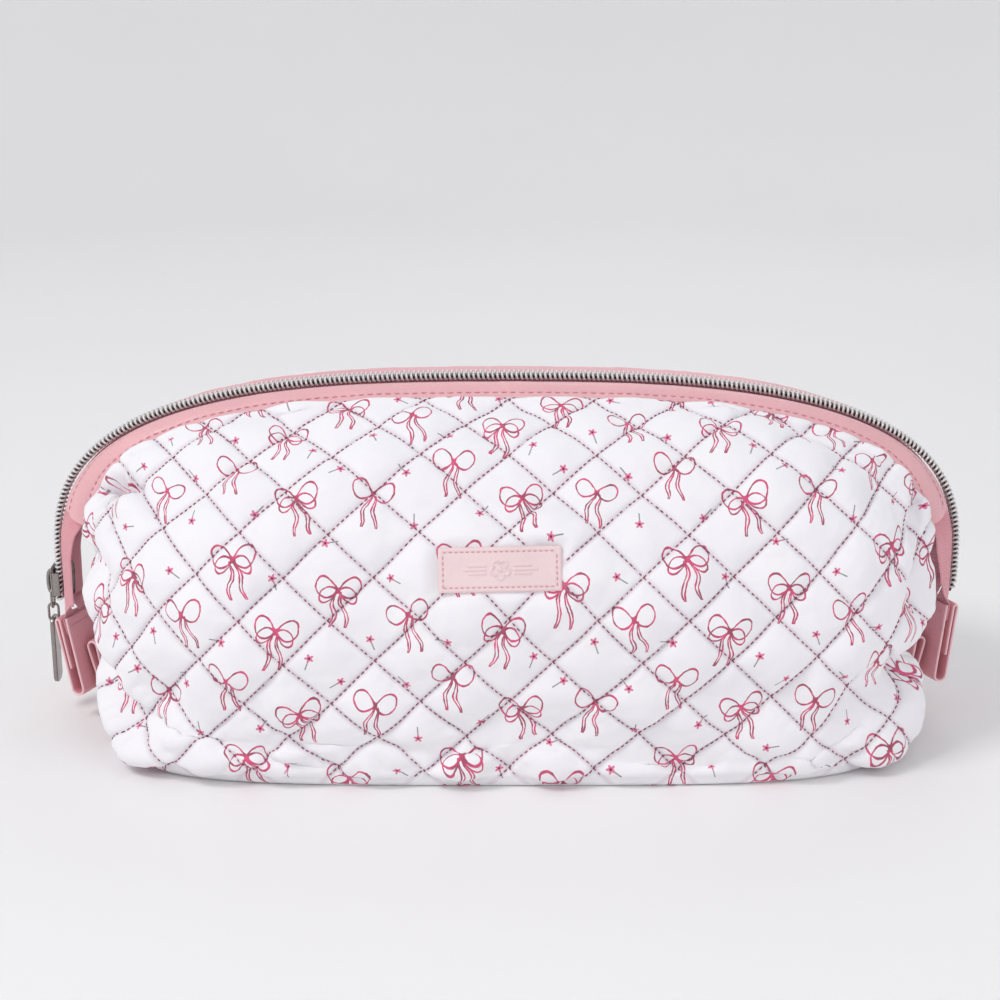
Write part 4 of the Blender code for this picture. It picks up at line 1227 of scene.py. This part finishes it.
def shell(outer, inner):
    """A closed shell between an outer grid and an inner grid with fewer points."""
    rows, columns = outer.shape[:2]
    step = INNER_STEP
    index = np.arange(rows * columns).reshape(rows, columns)
    small = inner.shape[0], inner.shape[1]
    inside = np.arange(small[0] * small[1]).reshape(small) + rows * columns
    quads = []
    for table, flip in ((index, 1), (inside, -1)):
        found = np.stack([table[:-1, :-1], table[:-1, 1:], table[1:, 1:], table[1:, :-1]], axis=-1)
        quads.append(found.reshape(-1, 4)[:, ::flip])
    rim = []
    sides = (
        (index[0], inside[0], 1), (index[-1], inside[-1], -1),
        (index[:, 0], inside[:, 0], -1), (index[:, -1], inside[:, -1], 1),
    )
    for outer_edge, inner_edge, turn in sides:
        for k in range(len(inner_edge) - 1):
            face = [*outer_edge[k * step:(k + 1) * step + 1], inner_edge[k + 1], inner_edge[k]]
            rim.append(np.array(face[::-turn]))
    points = np.concatenate([outer.reshape(-1, 3), inner.reshape(-1, 3)])
    return points, np.concatenate(quads), rim


def bend_cloth(piece):
    """Bakes the cloth piece's placement into its mesh."""
    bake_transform(piece)


def shell_piece(panel, name, outer, inner, places, material, slot, node):
    """A piece of a panel between two skins, from places (u, v) for each of the outer skin's points."""
    inner = inner[::INNER_STEP, ::INNER_STEP]
    points, quads, rim = shell(outer, inner)
    u, v = np.broadcast_arrays(*places)
    cloth = np.stack([u, v, np.zeros_like(v)], axis=-1)
    cloth = np.concatenate([cloth.reshape(-1, 3), cloth[::INNER_STEP, ::INNER_STEP].reshape(-1, 3)])
    shape = panel.mirrored(points), quads, rim
    return make_piece(name, shape, material, slot=slot, replaces=[node], cloth=cloth)


def make_panel(panel, cotton, satin, thread):
    """A panel's padded outer cloth, its lining and its stitches."""
    half, name = panel.half, half_name(panel.half)
    outer = edge_rows(panel, panel.face)
    inner = edge_rows(panel, panel.formed - panel.formed_normals * SKIN_THICKNESS)
    for skin in (outer, inner):
        skin[..., 1] = np.minimum(skin[..., 1], -MIDDLE_GAP)
    past = ROW_MARGIN * np.arange(1, TUCK_ROWS + 1)[:, None]
    v = np.concatenate([panel.v[:1] + past[::-1], panel.v, -past + np.zeros_like(panel.v[:1])])
    piece = shell_piece(panel, f"quilted_{name}_panel", outer, inner, (panel.u[:1], v), cotton,
                        "quilted_cotton", f"outer_{name}_panel")
    bend_cloth(piece)

    skins = []
    for depth in LINING_DEPTH:
        skin = (panel.formed - panel.formed_normals * depth)[::LINING_STEP, ::LINING_STEP]
        skin[..., 1] = np.minimum(skin[..., 1], -1.5 * MIDDLE_GAP)
        skin[..., 2] = np.maximum(skin[..., 2], LINING_FOOT_Z)
        skins.append(skin)
    places = [table[::LINING_STEP, ::LINING_STEP] for table in (panel.u, panel.v)]
    piece = shell_piece(panel, f"{name}_lining_cloth", *skins, places, satin, "lining", f"lining_{name}")
    bend_cloth(piece)
    make_quilt_stitches(panel, thread)


def make_quilt_stitches(panel, thread):
    """The running stitch along every quilting line of a panel."""
    reach = STITCH_LENGTH / LINE_SPACING / 2
    starts, ends = [], []
    first, last = QUILT_LINES
    for line in range(first, last):
        along = np.arange(first, last, STITCH_PITCH / LINE_SPACING)
        wander = 0.012 * noise_at(along * 0.6, np.full(len(along), line * 1.7), 3.0)
        for swap in (False, True):
            for sign, store in ((-1, starts), (1, ends)):
                s, t = line + wander, along + sign * reach
                s, t = (t, s) if swap else (s, t)
                u = (s + t) * DIAMOND / 2 + QUILT_SHIFT[0]
                v = (s - t) * DIAMOND / 2 + QUILT_SHIFT[1]
                store.append(np.column_stack([u, v]))
    starts, ends = np.concatenate(starts), np.concatenate(ends)
    u, v = ((starts + ends) / 2).T
    tall = np.interp(u, panel.u[0], panel.v[0])
    side, foot, top = STITCH_MARGINS
    kept = (np.abs(u) < HALF_GIRTH - side) & (v > foot) & (v < tall - top)
    if panel.half == FRONT:
        kept &= label_cover(u, v) < 0.99
    begins, normals = panel.at(*starts[kept].T)
    finishes, _ = panel.at(*ends[kept].T)
    points, quads, caps = spindles(begins, finishes, normals, STITCH_RADIUS, STITCH_LIFT)
    piece = make_piece(f"{half_name(panel.half)}_quilting_stitches", (panel.mirrored(points), quads, caps),
                       thread, slot="quilted_cotton")
    bend_cloth(piece)


# ---- The base ----
def base_rings(profile, relief=None):
    """Rings through a profile of (inset, share of the way to the edge, height)."""
    shares = np.linspace(0, 1, 121)
    rings = []
    for inset, share, height in profile:
        x, y = base_outline(shares, BASE_HALF_LENGTH - inset, BASE_HALF_DEPTH - inset)
        x, y = np.concatenate([x, x[-2:0:-1]]) * share, np.concatenate([y, -y[-2:0:-1]]) * share
        z = np.full(len(x), height)
        if relief:
            z = z + relief(x / MM, y / MM) * min(1.0, (1 - share) * 12)
        rings.append(np.column_stack([x, y, z]))
    return np.stack(rings)


def base_relief(x, y):
    """The base's quilting: its pillows rest on the ground and its seams stand a little off it."""
    s, t = (x + y) / DIAMOND, (x - y) / DIAMOND
    return 0.55 * MM * (1 - (np.abs(np.sin(math.pi * s) * np.sin(math.pi * t))) ** 0.4)


def base_ripple(x, y):
    return 0.22 * MM * (noise_at(x / 24, y / 18, 6.0) + 0.5)


def make_base(cotton, satin):
    """The padded base and the lining that rests on it."""
    inset = 1.0 * MM
    shares = np.linspace(0.02, 0.985, 46)
    under = base_rings([(inset, s, 0.0) for s in shares], base_relief)
    over = base_rings([(inset, s, BASE_THICKNESS) for s in shares[::-1]])
    edge = base_rings([(inset, 1.0, h * BASE_THICKNESS) for h in (0.22, 0.5, 0.78)])
    rings = np.concatenate([under, edge, over])
    level = np.array([1, 1, 0]) / MM
    cloth = rings.reshape(-1, 3) * level + np.array([*QUILT_SHIFT, 0])
    piece = make_piece("quilted_base", loft(rings), cotton, "bag", "quilted_cotton", ["base_panel"],
                       cloth=cloth)

    low, high = BASE_THICKNESS + 0.3 * MM, BASE_THICKNESS + 1.0 * MM
    inset = 5.4 * MM
    shares = np.linspace(0.02, 1.0, 40)
    under = base_rings([(inset, s, low) for s in shares])
    over = base_rings([(inset, s, high) for s in shares[::-1]], base_ripple)
    rings = np.concatenate([under, over])
    piece = make_piece("base_lining_cloth", loft(rings), satin, "bag", "lining", ["lining_base"],
                       cloth=rings.reshape(-1, 3) * level)


# ---- Straps ----
def half_turn(centre_x, centre_z, radius, first, last, count=15):
    """Points round a centre from a first to a last angle in degrees."""
    angles = np.radians(np.linspace(first, last, count))
    return [(centre_x + radius * math.cos(a), centre_z + radius * math.sin(a)) for a in angles]


def strap_shape(path, place, step=0.45 * MM, wave=0.0):
    """A strip with rounded, painted edges along a path in its own XZ plane."""
    line = respaced(path, step)
    forward = unit(np.gradient(line, axis=0))
    normal = np.column_stack([forward[:, 1], -forward[:, 0]])
    turn = full_turn(36)
    across = signed_power(np.cos(turn), 0.55) * STRAP_WIDTH / 2
    thick = signed_power(np.sin(turn), 0.45) * STRAP_THICKNESS / 2
    at = lengths_along(line)
    ripple = wave * noise_at(at[:, None] / 0.007, across[None, :] / 0.008, 5.0)
    depth = thick[None, :] + ripple
    rings = np.zeros((len(line), len(turn), 3))
    rings[..., 1] = across[None, :]
    for axis, k in ((0, 0), (2, 1)):
        rings[..., axis] = line[:, k:k + 1] + normal[:, k:k + 1] * depth
    edge = np.broadcast_to(np.abs(across) > STRAP_WIDTH / 2 * 0.93, rings.shape[:2]).astype(float)
    points, quads, caps = loft(rings)
    return (moved_by(points, place), quads, caps), edge.ravel()


def strap_matrix(location, end, lean):
    return Matrix.Translation(location) @ Euler((0, end * lean, end * TAB_YAW)).to_matrix().to_4x4()


def across_stitches(place, x, z, normal_x, inset=1.6 * MM, pitch=2.3 * MM):
    """A row of stitches across a strap at one place of its path."""
    reach = STRAP_WIDTH / 2 - inset
    starts_y = np.arange(-reach, reach - 0.6 * pitch, pitch)
    ends = []
    for shift in (0.0, 0.72 * pitch):
        local = np.column_stack([
            np.full(len(starts_y), x + normal_x * (STRAP_THICKNESS / 2 + 0.04 * MM)),
            starts_y + shift, np.full(len(starts_y), z),
        ])
        ends.append(moved_by(local, place))
    up = np.tile(np.array(place)[:3, 0] * normal_x, (len(starts_y), 1))
    return spindles(ends[0], ends[1], up, 0.20 * MM, 0.22 * MM)


def make_end_tab(end, leather, thread):
    """The tab over a zip tail's end: a strap folded down, up and back down, with two stitch rows."""
    low, wide, tuck = -TAB_HEIGHT, 2 * TAB_FOLD_RADIUS, TAB_TUCK_RADIUS
    path = [(0.0, 0.0), (0.0, low / 2)]
    path += half_turn(TAB_FOLD_RADIUS, low + TAB_FOLD_RADIUS, TAB_FOLD_RADIUS, 180, 360)
    path += half_turn(wide - tuck, -tuck, tuck, 0, 180)
    path += [(wide - 2 * tuck, low + TAB_TUCK_END_Z)]
    path = [(end * (x - TAB_SLOT_X), z) for x, z in path]
    top_x, top_z = TAB_TOP[end]
    place = strap_matrix((top_x + end * TAPE_MIDDLE_LIFT, 0, top_z), end, TAB_LEAN[end])
    shape, edge = strap_shape(path, place, wave=0.05 * MM)
    name = f"{end_name(end)}_end_tab"
    make_piece(f"{name}_strap", shape, leather, "bag", "strap", [name], edge=edge)
    row_z = -2.6 * MM
    rows = [
        across_stitches(place, end * -TAB_SLOT_X, row_z, -end),
        across_stitches(place, end * (wide - TAB_SLOT_X), row_z, end),
    ]
    make_piece(f"{name}_stitches", joined(rows), thread, "bag", "strap")


def make_side_loop(end, leather):
    """A strap folded in half, whose two ends are caught in the side seam."""
    root, radius = LOOP_ROOT_SPACING / 2, LOOP_APEX_RADIUS
    shoulder = LOOP_LENGTH - radius
    path = [(-root, 0.0), (-(root + radius) / 2, shoulder / 2)]
    path += half_turn(0.0, shoulder, radius, 180, 0)
    path += [((root + radius) / 2, shoulder / 2), (root, 0.0)]
    place = strap_matrix((LOOP_ROOT[end][0], 0, LOOP_ROOT[end][1]), end, LOOP_LEAN[end])
    shape, edge = strap_shape(path, place, wave=0.04 * MM)
    name = f"{end_name(end)}_side_loop"
    make_piece(f"{name}_strap", shape, leather, "bag", "strap", [name], edge=edge)


# ---- The label ----
LABEL_INSET = 1.35               # its stitches lie this far inside its edge, in millimetres
LABEL_STITCH_PITCH = 1.55 * MM
FLOWER_RADIUS = 2.7
LABEL_BARS = ((-1.15, 4.6), (0.0, 6.4), (1.15, 4.6))   # (height, length) of the bars on each side
BARS_START = 3.9
EMBOSS = 0.36


def petal_edge(x, z, size):
    """Below 0 inside a five-petalled flower, in millimetres."""
    radius, angle = np.hypot(x, z), np.arctan2(z, x) + math.pi / 2
    return radius - size * (0.62 + 0.38 * np.abs(np.cos(2.5 * angle)) ** 0.8)


def label_height(x, z):
    """Relief of the label's face in metres, at places in millimetres from its middle."""
    half_x, half_z = LABEL_SIZE[0] / MM / 2, LABEL_SIZE[2] / MM / 2
    edge = np.minimum(half_x - np.abs(x), half_z - np.abs(z))
    height = -0.35 * (1 - smooth_step(edge / 0.7))
    height = height - 0.16 * np.exp(-(((edge - LABEL_INSET) / 0.28) ** 2))
    flower = petal_edge(x, z, FLOWER_RADIUS)
    raised = 1 - smooth_step((np.abs(flower) - 0.18) / 0.25)
    heart = 1 - smooth_step((np.hypot(x, z) - 0.5) / 0.25)
    for row, long in LABEL_BARS:
        bar = np.maximum(np.abs(np.abs(x) - BARS_START - long / 2) - long / 2, np.abs(z - row) - 0.16)
        raised = np.maximum(raised, 1 - smooth_step(bar / 0.22))
    height = height + EMBOSS * np.maximum(raised, heart)
    return height * MM + 0.02 * MM * noise_at(x / 2.2, z / 2.2, 3.0)


def make_label(leather, thread):
    """The stitched label, embossed with a flower between bars."""
    width, depth, height = LABEL_SIZE
    columns, rows = 137, 53
    x, z = np.meshgrid(np.linspace(-width / 2, width / 2, columns),
                       np.linspace(height / 2, -height / 2, rows))
    # Its corners are drawn in a little by the stitches.
    pull = 1 - 0.012 * (np.abs(x) / (width / 2)) ** 12 * (np.abs(z) / (height / 2)) ** 12
    x, z = x * pull, z * pull
    front = np.stack([x, -depth / 2 - label_height(x / MM, z / MM), z], axis=-1)
    back = np.stack([x, np.full_like(x, depth / 2), z], axis=-1)
    edge_drop = np.zeros_like(x)
    edge_drop[[0, -1], :] = edge_drop[:, [0, -1]] = 1.0
    front[..., 1] += edge_drop * 0.15 * MM
    points, quads, rim = shell(front, back[::INNER_STEP, ::INNER_STEP])
    place = label_place()
    points = moved_by(points, place)
    edge = np.concatenate([edge_drop.ravel(), np.zeros(len(points) - x.size)])
    piece = make_piece("embossed_label", (points, quads, rim), leather, slot="label",
                       replaces=["label"], edge=edge)
    bend_cloth(piece)

    pitch = LABEL_STITCH_PITCH
    half_x, half_z = width / 2 - LABEL_INSET * MM, height / 2 - LABEL_INSET * MM
    sides = []
    for shift in (0.0, 0.7 * pitch):
        found = []
        for sign in (-1, 1):
            found += [(at + shift, sign * half_z) for at in np.arange(-half_x, half_x - 0.5 * pitch, pitch)]
            found += [(sign * half_x, at + shift) for at in np.arange(-half_z, half_z - 0.5 * pitch, pitch)]
        x, z = np.array(found).T
        y = -depth / 2 - label_height(x / MM, z / MM) - 0.05 * MM
        sides.append(moved_by(np.column_stack([x, y, z]), place))
    up = np.tile(-np.array(place)[:3, 1], (len(sides[0]), 1))
    shape = spindles(sides[0], sides[1], up, 0.13 * MM, 0.17 * MM)
    piece = make_piece("label_stitches", shape, thread, slot="label")
    bend_cloth(piece)


# ---- Slider, chain and pull ----
def rounded_plate(x_low, x_high, outline, bevel):
    """A plate across X with rounded rims, from an outline of (y, z) about its own middle."""
    outline = np.array(outline)
    centre = (outline.min(0) + outline.max(0)) / 2
    half = (outline.max(0) - outline.min(0)) / 2
    turns = np.linspace(0, math.pi / 2, 5)
    rings = []
    levels = [(x_low + bevel * (1 - math.sin(t)), bevel * (1 - math.cos(t))) for t in turns]
    levels += [(x_high - bevel * (1 - math.sin(t)), bevel * (1 - math.cos(t))) for t in turns[::-1]]
    for x, inset in levels:
        places = centre + (outline - centre) * (1 - inset / half)
        rings.append(np.column_stack([np.full(len(places), x), places]))
    return loft(np.stack(rings))


def box_middle(node):
    """The middle of a node's box and its half sizes."""
    low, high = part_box(node)
    return (np.array(low) + np.array(high)) / 2, (np.array(high) - np.array(low)) / 2


def stadium(half_width, low, high, count=16):
    """The outline of an oval ring with straight sides."""
    upper = half_turn(0.0, high - half_width, half_width, 0, 180, count)
    lower = half_turn(0.0, low + half_width, half_width, 180, 360, count)
    return np.array(upper + lower)


def make_links(metal):
    """The two links of the chain, the upper one wide across Y and the lower one across X."""
    for node, along in (("link_upper", 1), ("link_lower", 0)):
        middle, half = box_middle(node)
        radius = half[1 - along]
        ring = stadium(half[along] - radius, -half[2] + radius, half[2] - radius)
        line = np.zeros((len(ring), 3))
        line[:, along] = ring[:, 0]
        line[:, 2] = ring[:, 1]
        flat = np.zeros_like(line)
        flat[:, 1 - along] = 1.0
        shape = tube(line + middle, radius * 0.98, flat, sides=14, closed=True)
        make_piece(f"{node}_ring", shape, metal, node, "slider_metal", [node])


PULL_CORNER = 2.6 * MM
PULL_BEVEL = 0.38 * MM
HOLE_RADIUS = 1.2 * MM
HOLE_BELOW_TOP = 2.4 * MM
HOLE_BEVEL = 0.2 * MM


def rim_x(angle, half_depth, bevel):
    """Depth of a place on a rounded rim, whose angle runs from -90 degrees to 90 over the plate."""
    flat = half_depth - bevel
    return bevel * math.sin(angle) + (math.copysign(flat, angle) if angle else 0.0)


def make_pull(metal):
    """The long pull: a plate with round ends, softened rims and a hole for the link."""
    middle, half = box_middle("pull_tab")
    hole_middle = np.array([0, half[2] - HOLE_BELOW_TOP])
    outline, hole = [], []
    for sign_y, sign_z, first in ((1, 1, 0), (-1, 1, 90), (-1, -1, 180), (1, -1, 270)):
        for angle in np.radians(np.linspace(first, first + 90, 12)):
            way = np.array([math.cos(angle), math.sin(angle)])
            outline.append(np.array([sign_y, sign_z]) * (half[1:] - PULL_CORNER) + PULL_CORNER * way)
            hole.append(HOLE_RADIUS * way)
    loops = []
    for angle in np.radians(np.linspace(-90, 90, 9)):
        shrink = 1 - PULL_BEVEL * (1 - math.cos(angle)) / half[1:]
        loops.append((rim_x(angle, half[0], PULL_BEVEL), np.array(outline) * shrink))
    for angle in np.radians(np.linspace(90, -90, 7)):
        grow = 1 + HOLE_BEVEL * 0.8 / MM * (1 - math.cos(angle))
        loops.append((rim_x(angle, half[0], HOLE_BEVEL), hole_middle + np.array(hole) * grow))
    rings = np.stack([np.column_stack([np.full(len(places), x), places]) for x, places in loops])
    shape = loft(rings + middle, closed=True)
    make_piece("long_pull", shape, metal, "pull", "slider_metal", ["pull_tab"], sharp=50)


def slider_outline(wide, narrow):
    """The slider's outline seen from its front: wide shoulders above and a narrower, rounder foot."""
    low, high = SLIDER_Z
    angle = full_turn(48)
    up = signed_power(np.sin(angle), 0.6)
    z = (low + high) / 2 + up * (high - low) / 2
    half_width = narrow + (wide - narrow) * smooth_step((up + 1) / 2)
    return np.column_stack([half_width * signed_power(np.cos(angle), 0.45), z])


# Distances outward from the zip's line: a plate's (outer face, inner face, bevel), a flange's two ends.
PLATES = ((3.4 * MM, 2.4 * MM, 0.42 * MM), (-1.5 * MM, -2.4 * MM, 0.40 * MM))
FLANGES = ((2.6 * MM, 0.7 * MM), (-2.0 * MM, -1.75 * MM))
POST_HALF = (0.26 * MM, 1.1 * MM)
BAIL_Z = (38.7 * MM, 46.0 * MM)
BAIL_REACH = 2.1 * MM
BAIL_WIRE = 0.62 * MM


def make_slider(metal):
    """The slider: two plates with turned-in flanges, the post between them, and the bail."""
    face = ARCH_HALF_LENGTH
    outline = slider_outline(4.9 * MM, 3.9 * MM)
    plates = [rounded_plate(-(face + low), -(face + high), outline, bevel) for low, high, bevel in PLATES]
    flanges = []
    places = np.linspace(0.15, 0.85, 14)
    z = SLIDER_Z[0] + places * (SLIDER_Z[1] - SLIDER_Z[0])
    angle = full_turn(12)
    for side in (-1, 1):
        for first, last in FLANGES:
            y = side * (4.1 + 0.5 * smooth_step(places)) * MM
            line = np.column_stack([np.full(len(z), -(face + (first + last) / 2)), y, z])
            reach = abs(first - last) / 2 + 0.2 * MM
            flat = signed_power(np.cos(angle), 0.6) * reach
            thick = np.sin(angle) * 0.42 * MM
            section = np.stack([flat, thick, np.zeros(len(angle))], axis=-1)
            flanges.append(loft(line[:, None] + section[None]))
    angle = full_turn(14)
    post_z = SLIDER_Z[0] + POST_HEIGHT / 2
    ring = np.column_stack([POST_HALF[0] * np.cos(angle), post_z + POST_HALF[1] * np.sin(angle)])
    levels = np.linspace(-(face - 1.6 * MM), -(face + 2.6 * MM), 3)
    post = loft(np.stack([np.column_stack([np.full(len(ring), x), ring]) for x in levels]))

    turn = np.linspace(0, math.pi, 25)
    low, high = BAIL_Z
    bail = np.column_stack([
        -(face + 2.9 * MM + BAIL_REACH * np.abs(np.sin(turn)) ** 0.45), np.zeros(len(turn)),
        (low + high) / 2 - (high - low) / 2 * signed_power(np.cos(turn), 0.8),
    ])
    arch = tube(bail, BAIL_WIRE, np.tile([0.0, 1.0, 0.0], (len(turn), 1)), sides=12)
    parts = [turned_outward(part) for part in (*plates, *flanges, post, arch)]
    make_piece("slider_casting", joined(parts), metal, "slider", "slider_metal", ["slider_body"], sharp=60)


# ---- Camera, light and floor ----
CAMERA_LENS = 69.9
CAMERA_PLACE = (-0.002, -0.565, 0.239)
CAMERA_DOWN = 16.8
# Each light's name, place, the point it faces, its size in metres, its power and its colour.
LIGHTS = (
    ("window", (-0.80, -0.55, 1.20), (0, 0, 0.05), 0.5, 8.2, (1.0, 0.985, 0.97)),
    ("fill", (1.15, -0.9, 0.7), (0, 0, 0.05), 1.0, 3.8, (1.0, 0.97, 0.97)),
    ("rim", (0.2, 0.9, 0.9), (0, 0, 0.08), 0.7, 1.5, (1, 1, 1)),
)
SKY_COLOUR = (0.93, 0.96, 1.0, 1)
SKY_STRENGTH = 0.54


def make_camera():
    data = bpy.data.cameras.new("camera")
    data.lens = CAMERA_LENS
    data.sensor_width = 36.0
    camera = bpy.data.objects.new("camera", data)
    camera.location = CAMERA_PLACE
    camera.rotation_euler = (math.radians(90 - CAMERA_DOWN), 0, 0)
    bpy.context.scene.collection.objects.link(camera)
    bpy.context.scene.camera = camera


def area_light(name, location, target, size, power, colour):
    data = bpy.data.lights.new(name, "AREA")
    data.shape = "DISK"
    data.size = size
    data.energy = power
    data.color = colour
    light = bpy.data.objects.new(name, data)
    light.location = location
    aim = Vector(target) - Vector(location)
    light.rotation_euler = aim.to_track_quat("-Z", "Y").to_euler()
    bpy.context.scene.collection.objects.link(light)


def make_surroundings():
    """A pale round floor that curves up to a low wall, soft daylight from the left and an even fill."""
    profile = [(0.02, 0.0), (1.0, 0.0)]
    profile += [(1.0 + 0.6 * math.sin(t), 0.6 - 0.6 * math.cos(t)) for t in np.linspace(0.1, 1.5, 14)]
    profile += [(1.62, 1.0)]
    spokes = 96
    turns = np.linspace(0, 2 * math.pi, spokes, endpoint=False)
    points = [(0.0, 0.0, 0.0)]
    points += [(r * math.cos(t), r * math.sin(t), z) for r, z in profile for t in turns]
    faces = [(0, 1 + k, 1 + (k + 1) % spokes) for k in range(spokes)]
    for ring in range(len(profile) - 1):
        for k in range(spokes):
            near, far = 1 + ring * spokes, 1 + (ring + 1) * spokes
            side = (k + 1) % spokes
            faces.append((near + k, far + k, far + side, near + side))
    mesh = bpy.data.meshes.new("floor")
    mesh.from_pydata(points, [], faces)
    mesh.shade_smooth()
    mesh.materials.append(floor_material())
    floor = bpy.data.objects.new("floor", mesh)
    bpy.context.scene.collection.objects.link(floor)

    world = bpy.data.worlds.new("daylight")
    world.use_nodes = True
    sky = world.node_tree.nodes["Background"].inputs
    sky["Color"].default_value = SKY_COLOUR
    sky["Strength"].default_value = SKY_STRENGTH
    bpy.context.scene.world = world
    for light in LIGHTS:
        area_light(*light)
    bpy.context.scene.view_settings.view_transform = "Standard"


# ---- Everything, in order ----
make_camera()
make_surroundings()

pink = leather_material("pink_leather", tone(241, 184, 190), tone(247, 208, 211))
# The tabs and loops: the band's leather, coloured a little deeper as painted shade.
tab_pink_painted_shade = leather_material("tab_leather_painted_shade", tone(237, 168, 177), tone(247, 204, 208))
label_pink = leather_material("label_leather", tone(248, 222, 224), tone(240, 200, 204), 0.5, 0.35)
satin = satin_material()
quilt_thread = thread_material("quilt_thread", tone(110, 18, 52), tone(176, 50, 96))
pink_thread = thread_material("pink_thread", tone(214, 136, 148), tone(242, 182, 190))
steel = metal_material("spring_steel", tone(190, 190, 192), 0.3)
plated = metal_material("plated_metal", tone(158, 153, 150), 0.24)
coil = coil_material()
# The coil's cord, near black as painted shadow under the coil.
cord_in_painted_shadow = thread_material("cord_in_painted_shadow", tone(28, 24, 26), tone(58, 50, 53))
tape = tape_material()

for half in (FRONT, BACK):
    cotton = cotton_material(f"printed_cotton_{half_name(half)}", half)
    make_panel(Panel(half), cotton, satin, quilt_thread)
    make_band(half, pink, pink_thread)
    make_coil(half, coil, cord_in_painted_shadow)
    make_tape(half, tape)
    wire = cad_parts[f"{half_name(half)}_wire"]
    wire.data.materials.clear()
    wire.data.materials.append(steel)
make_base(bpy.data.materials["printed_cotton_front"], satin)
for end in (LEFT, RIGHT):
    make_end_tab(end, tab_pink_painted_shade, pink_thread)
    make_side_loop(end, tab_pink_painted_shade)
make_label(label_pink, pink_thread)
make_links(plated)
make_pull(plated)
make_slider(plated)
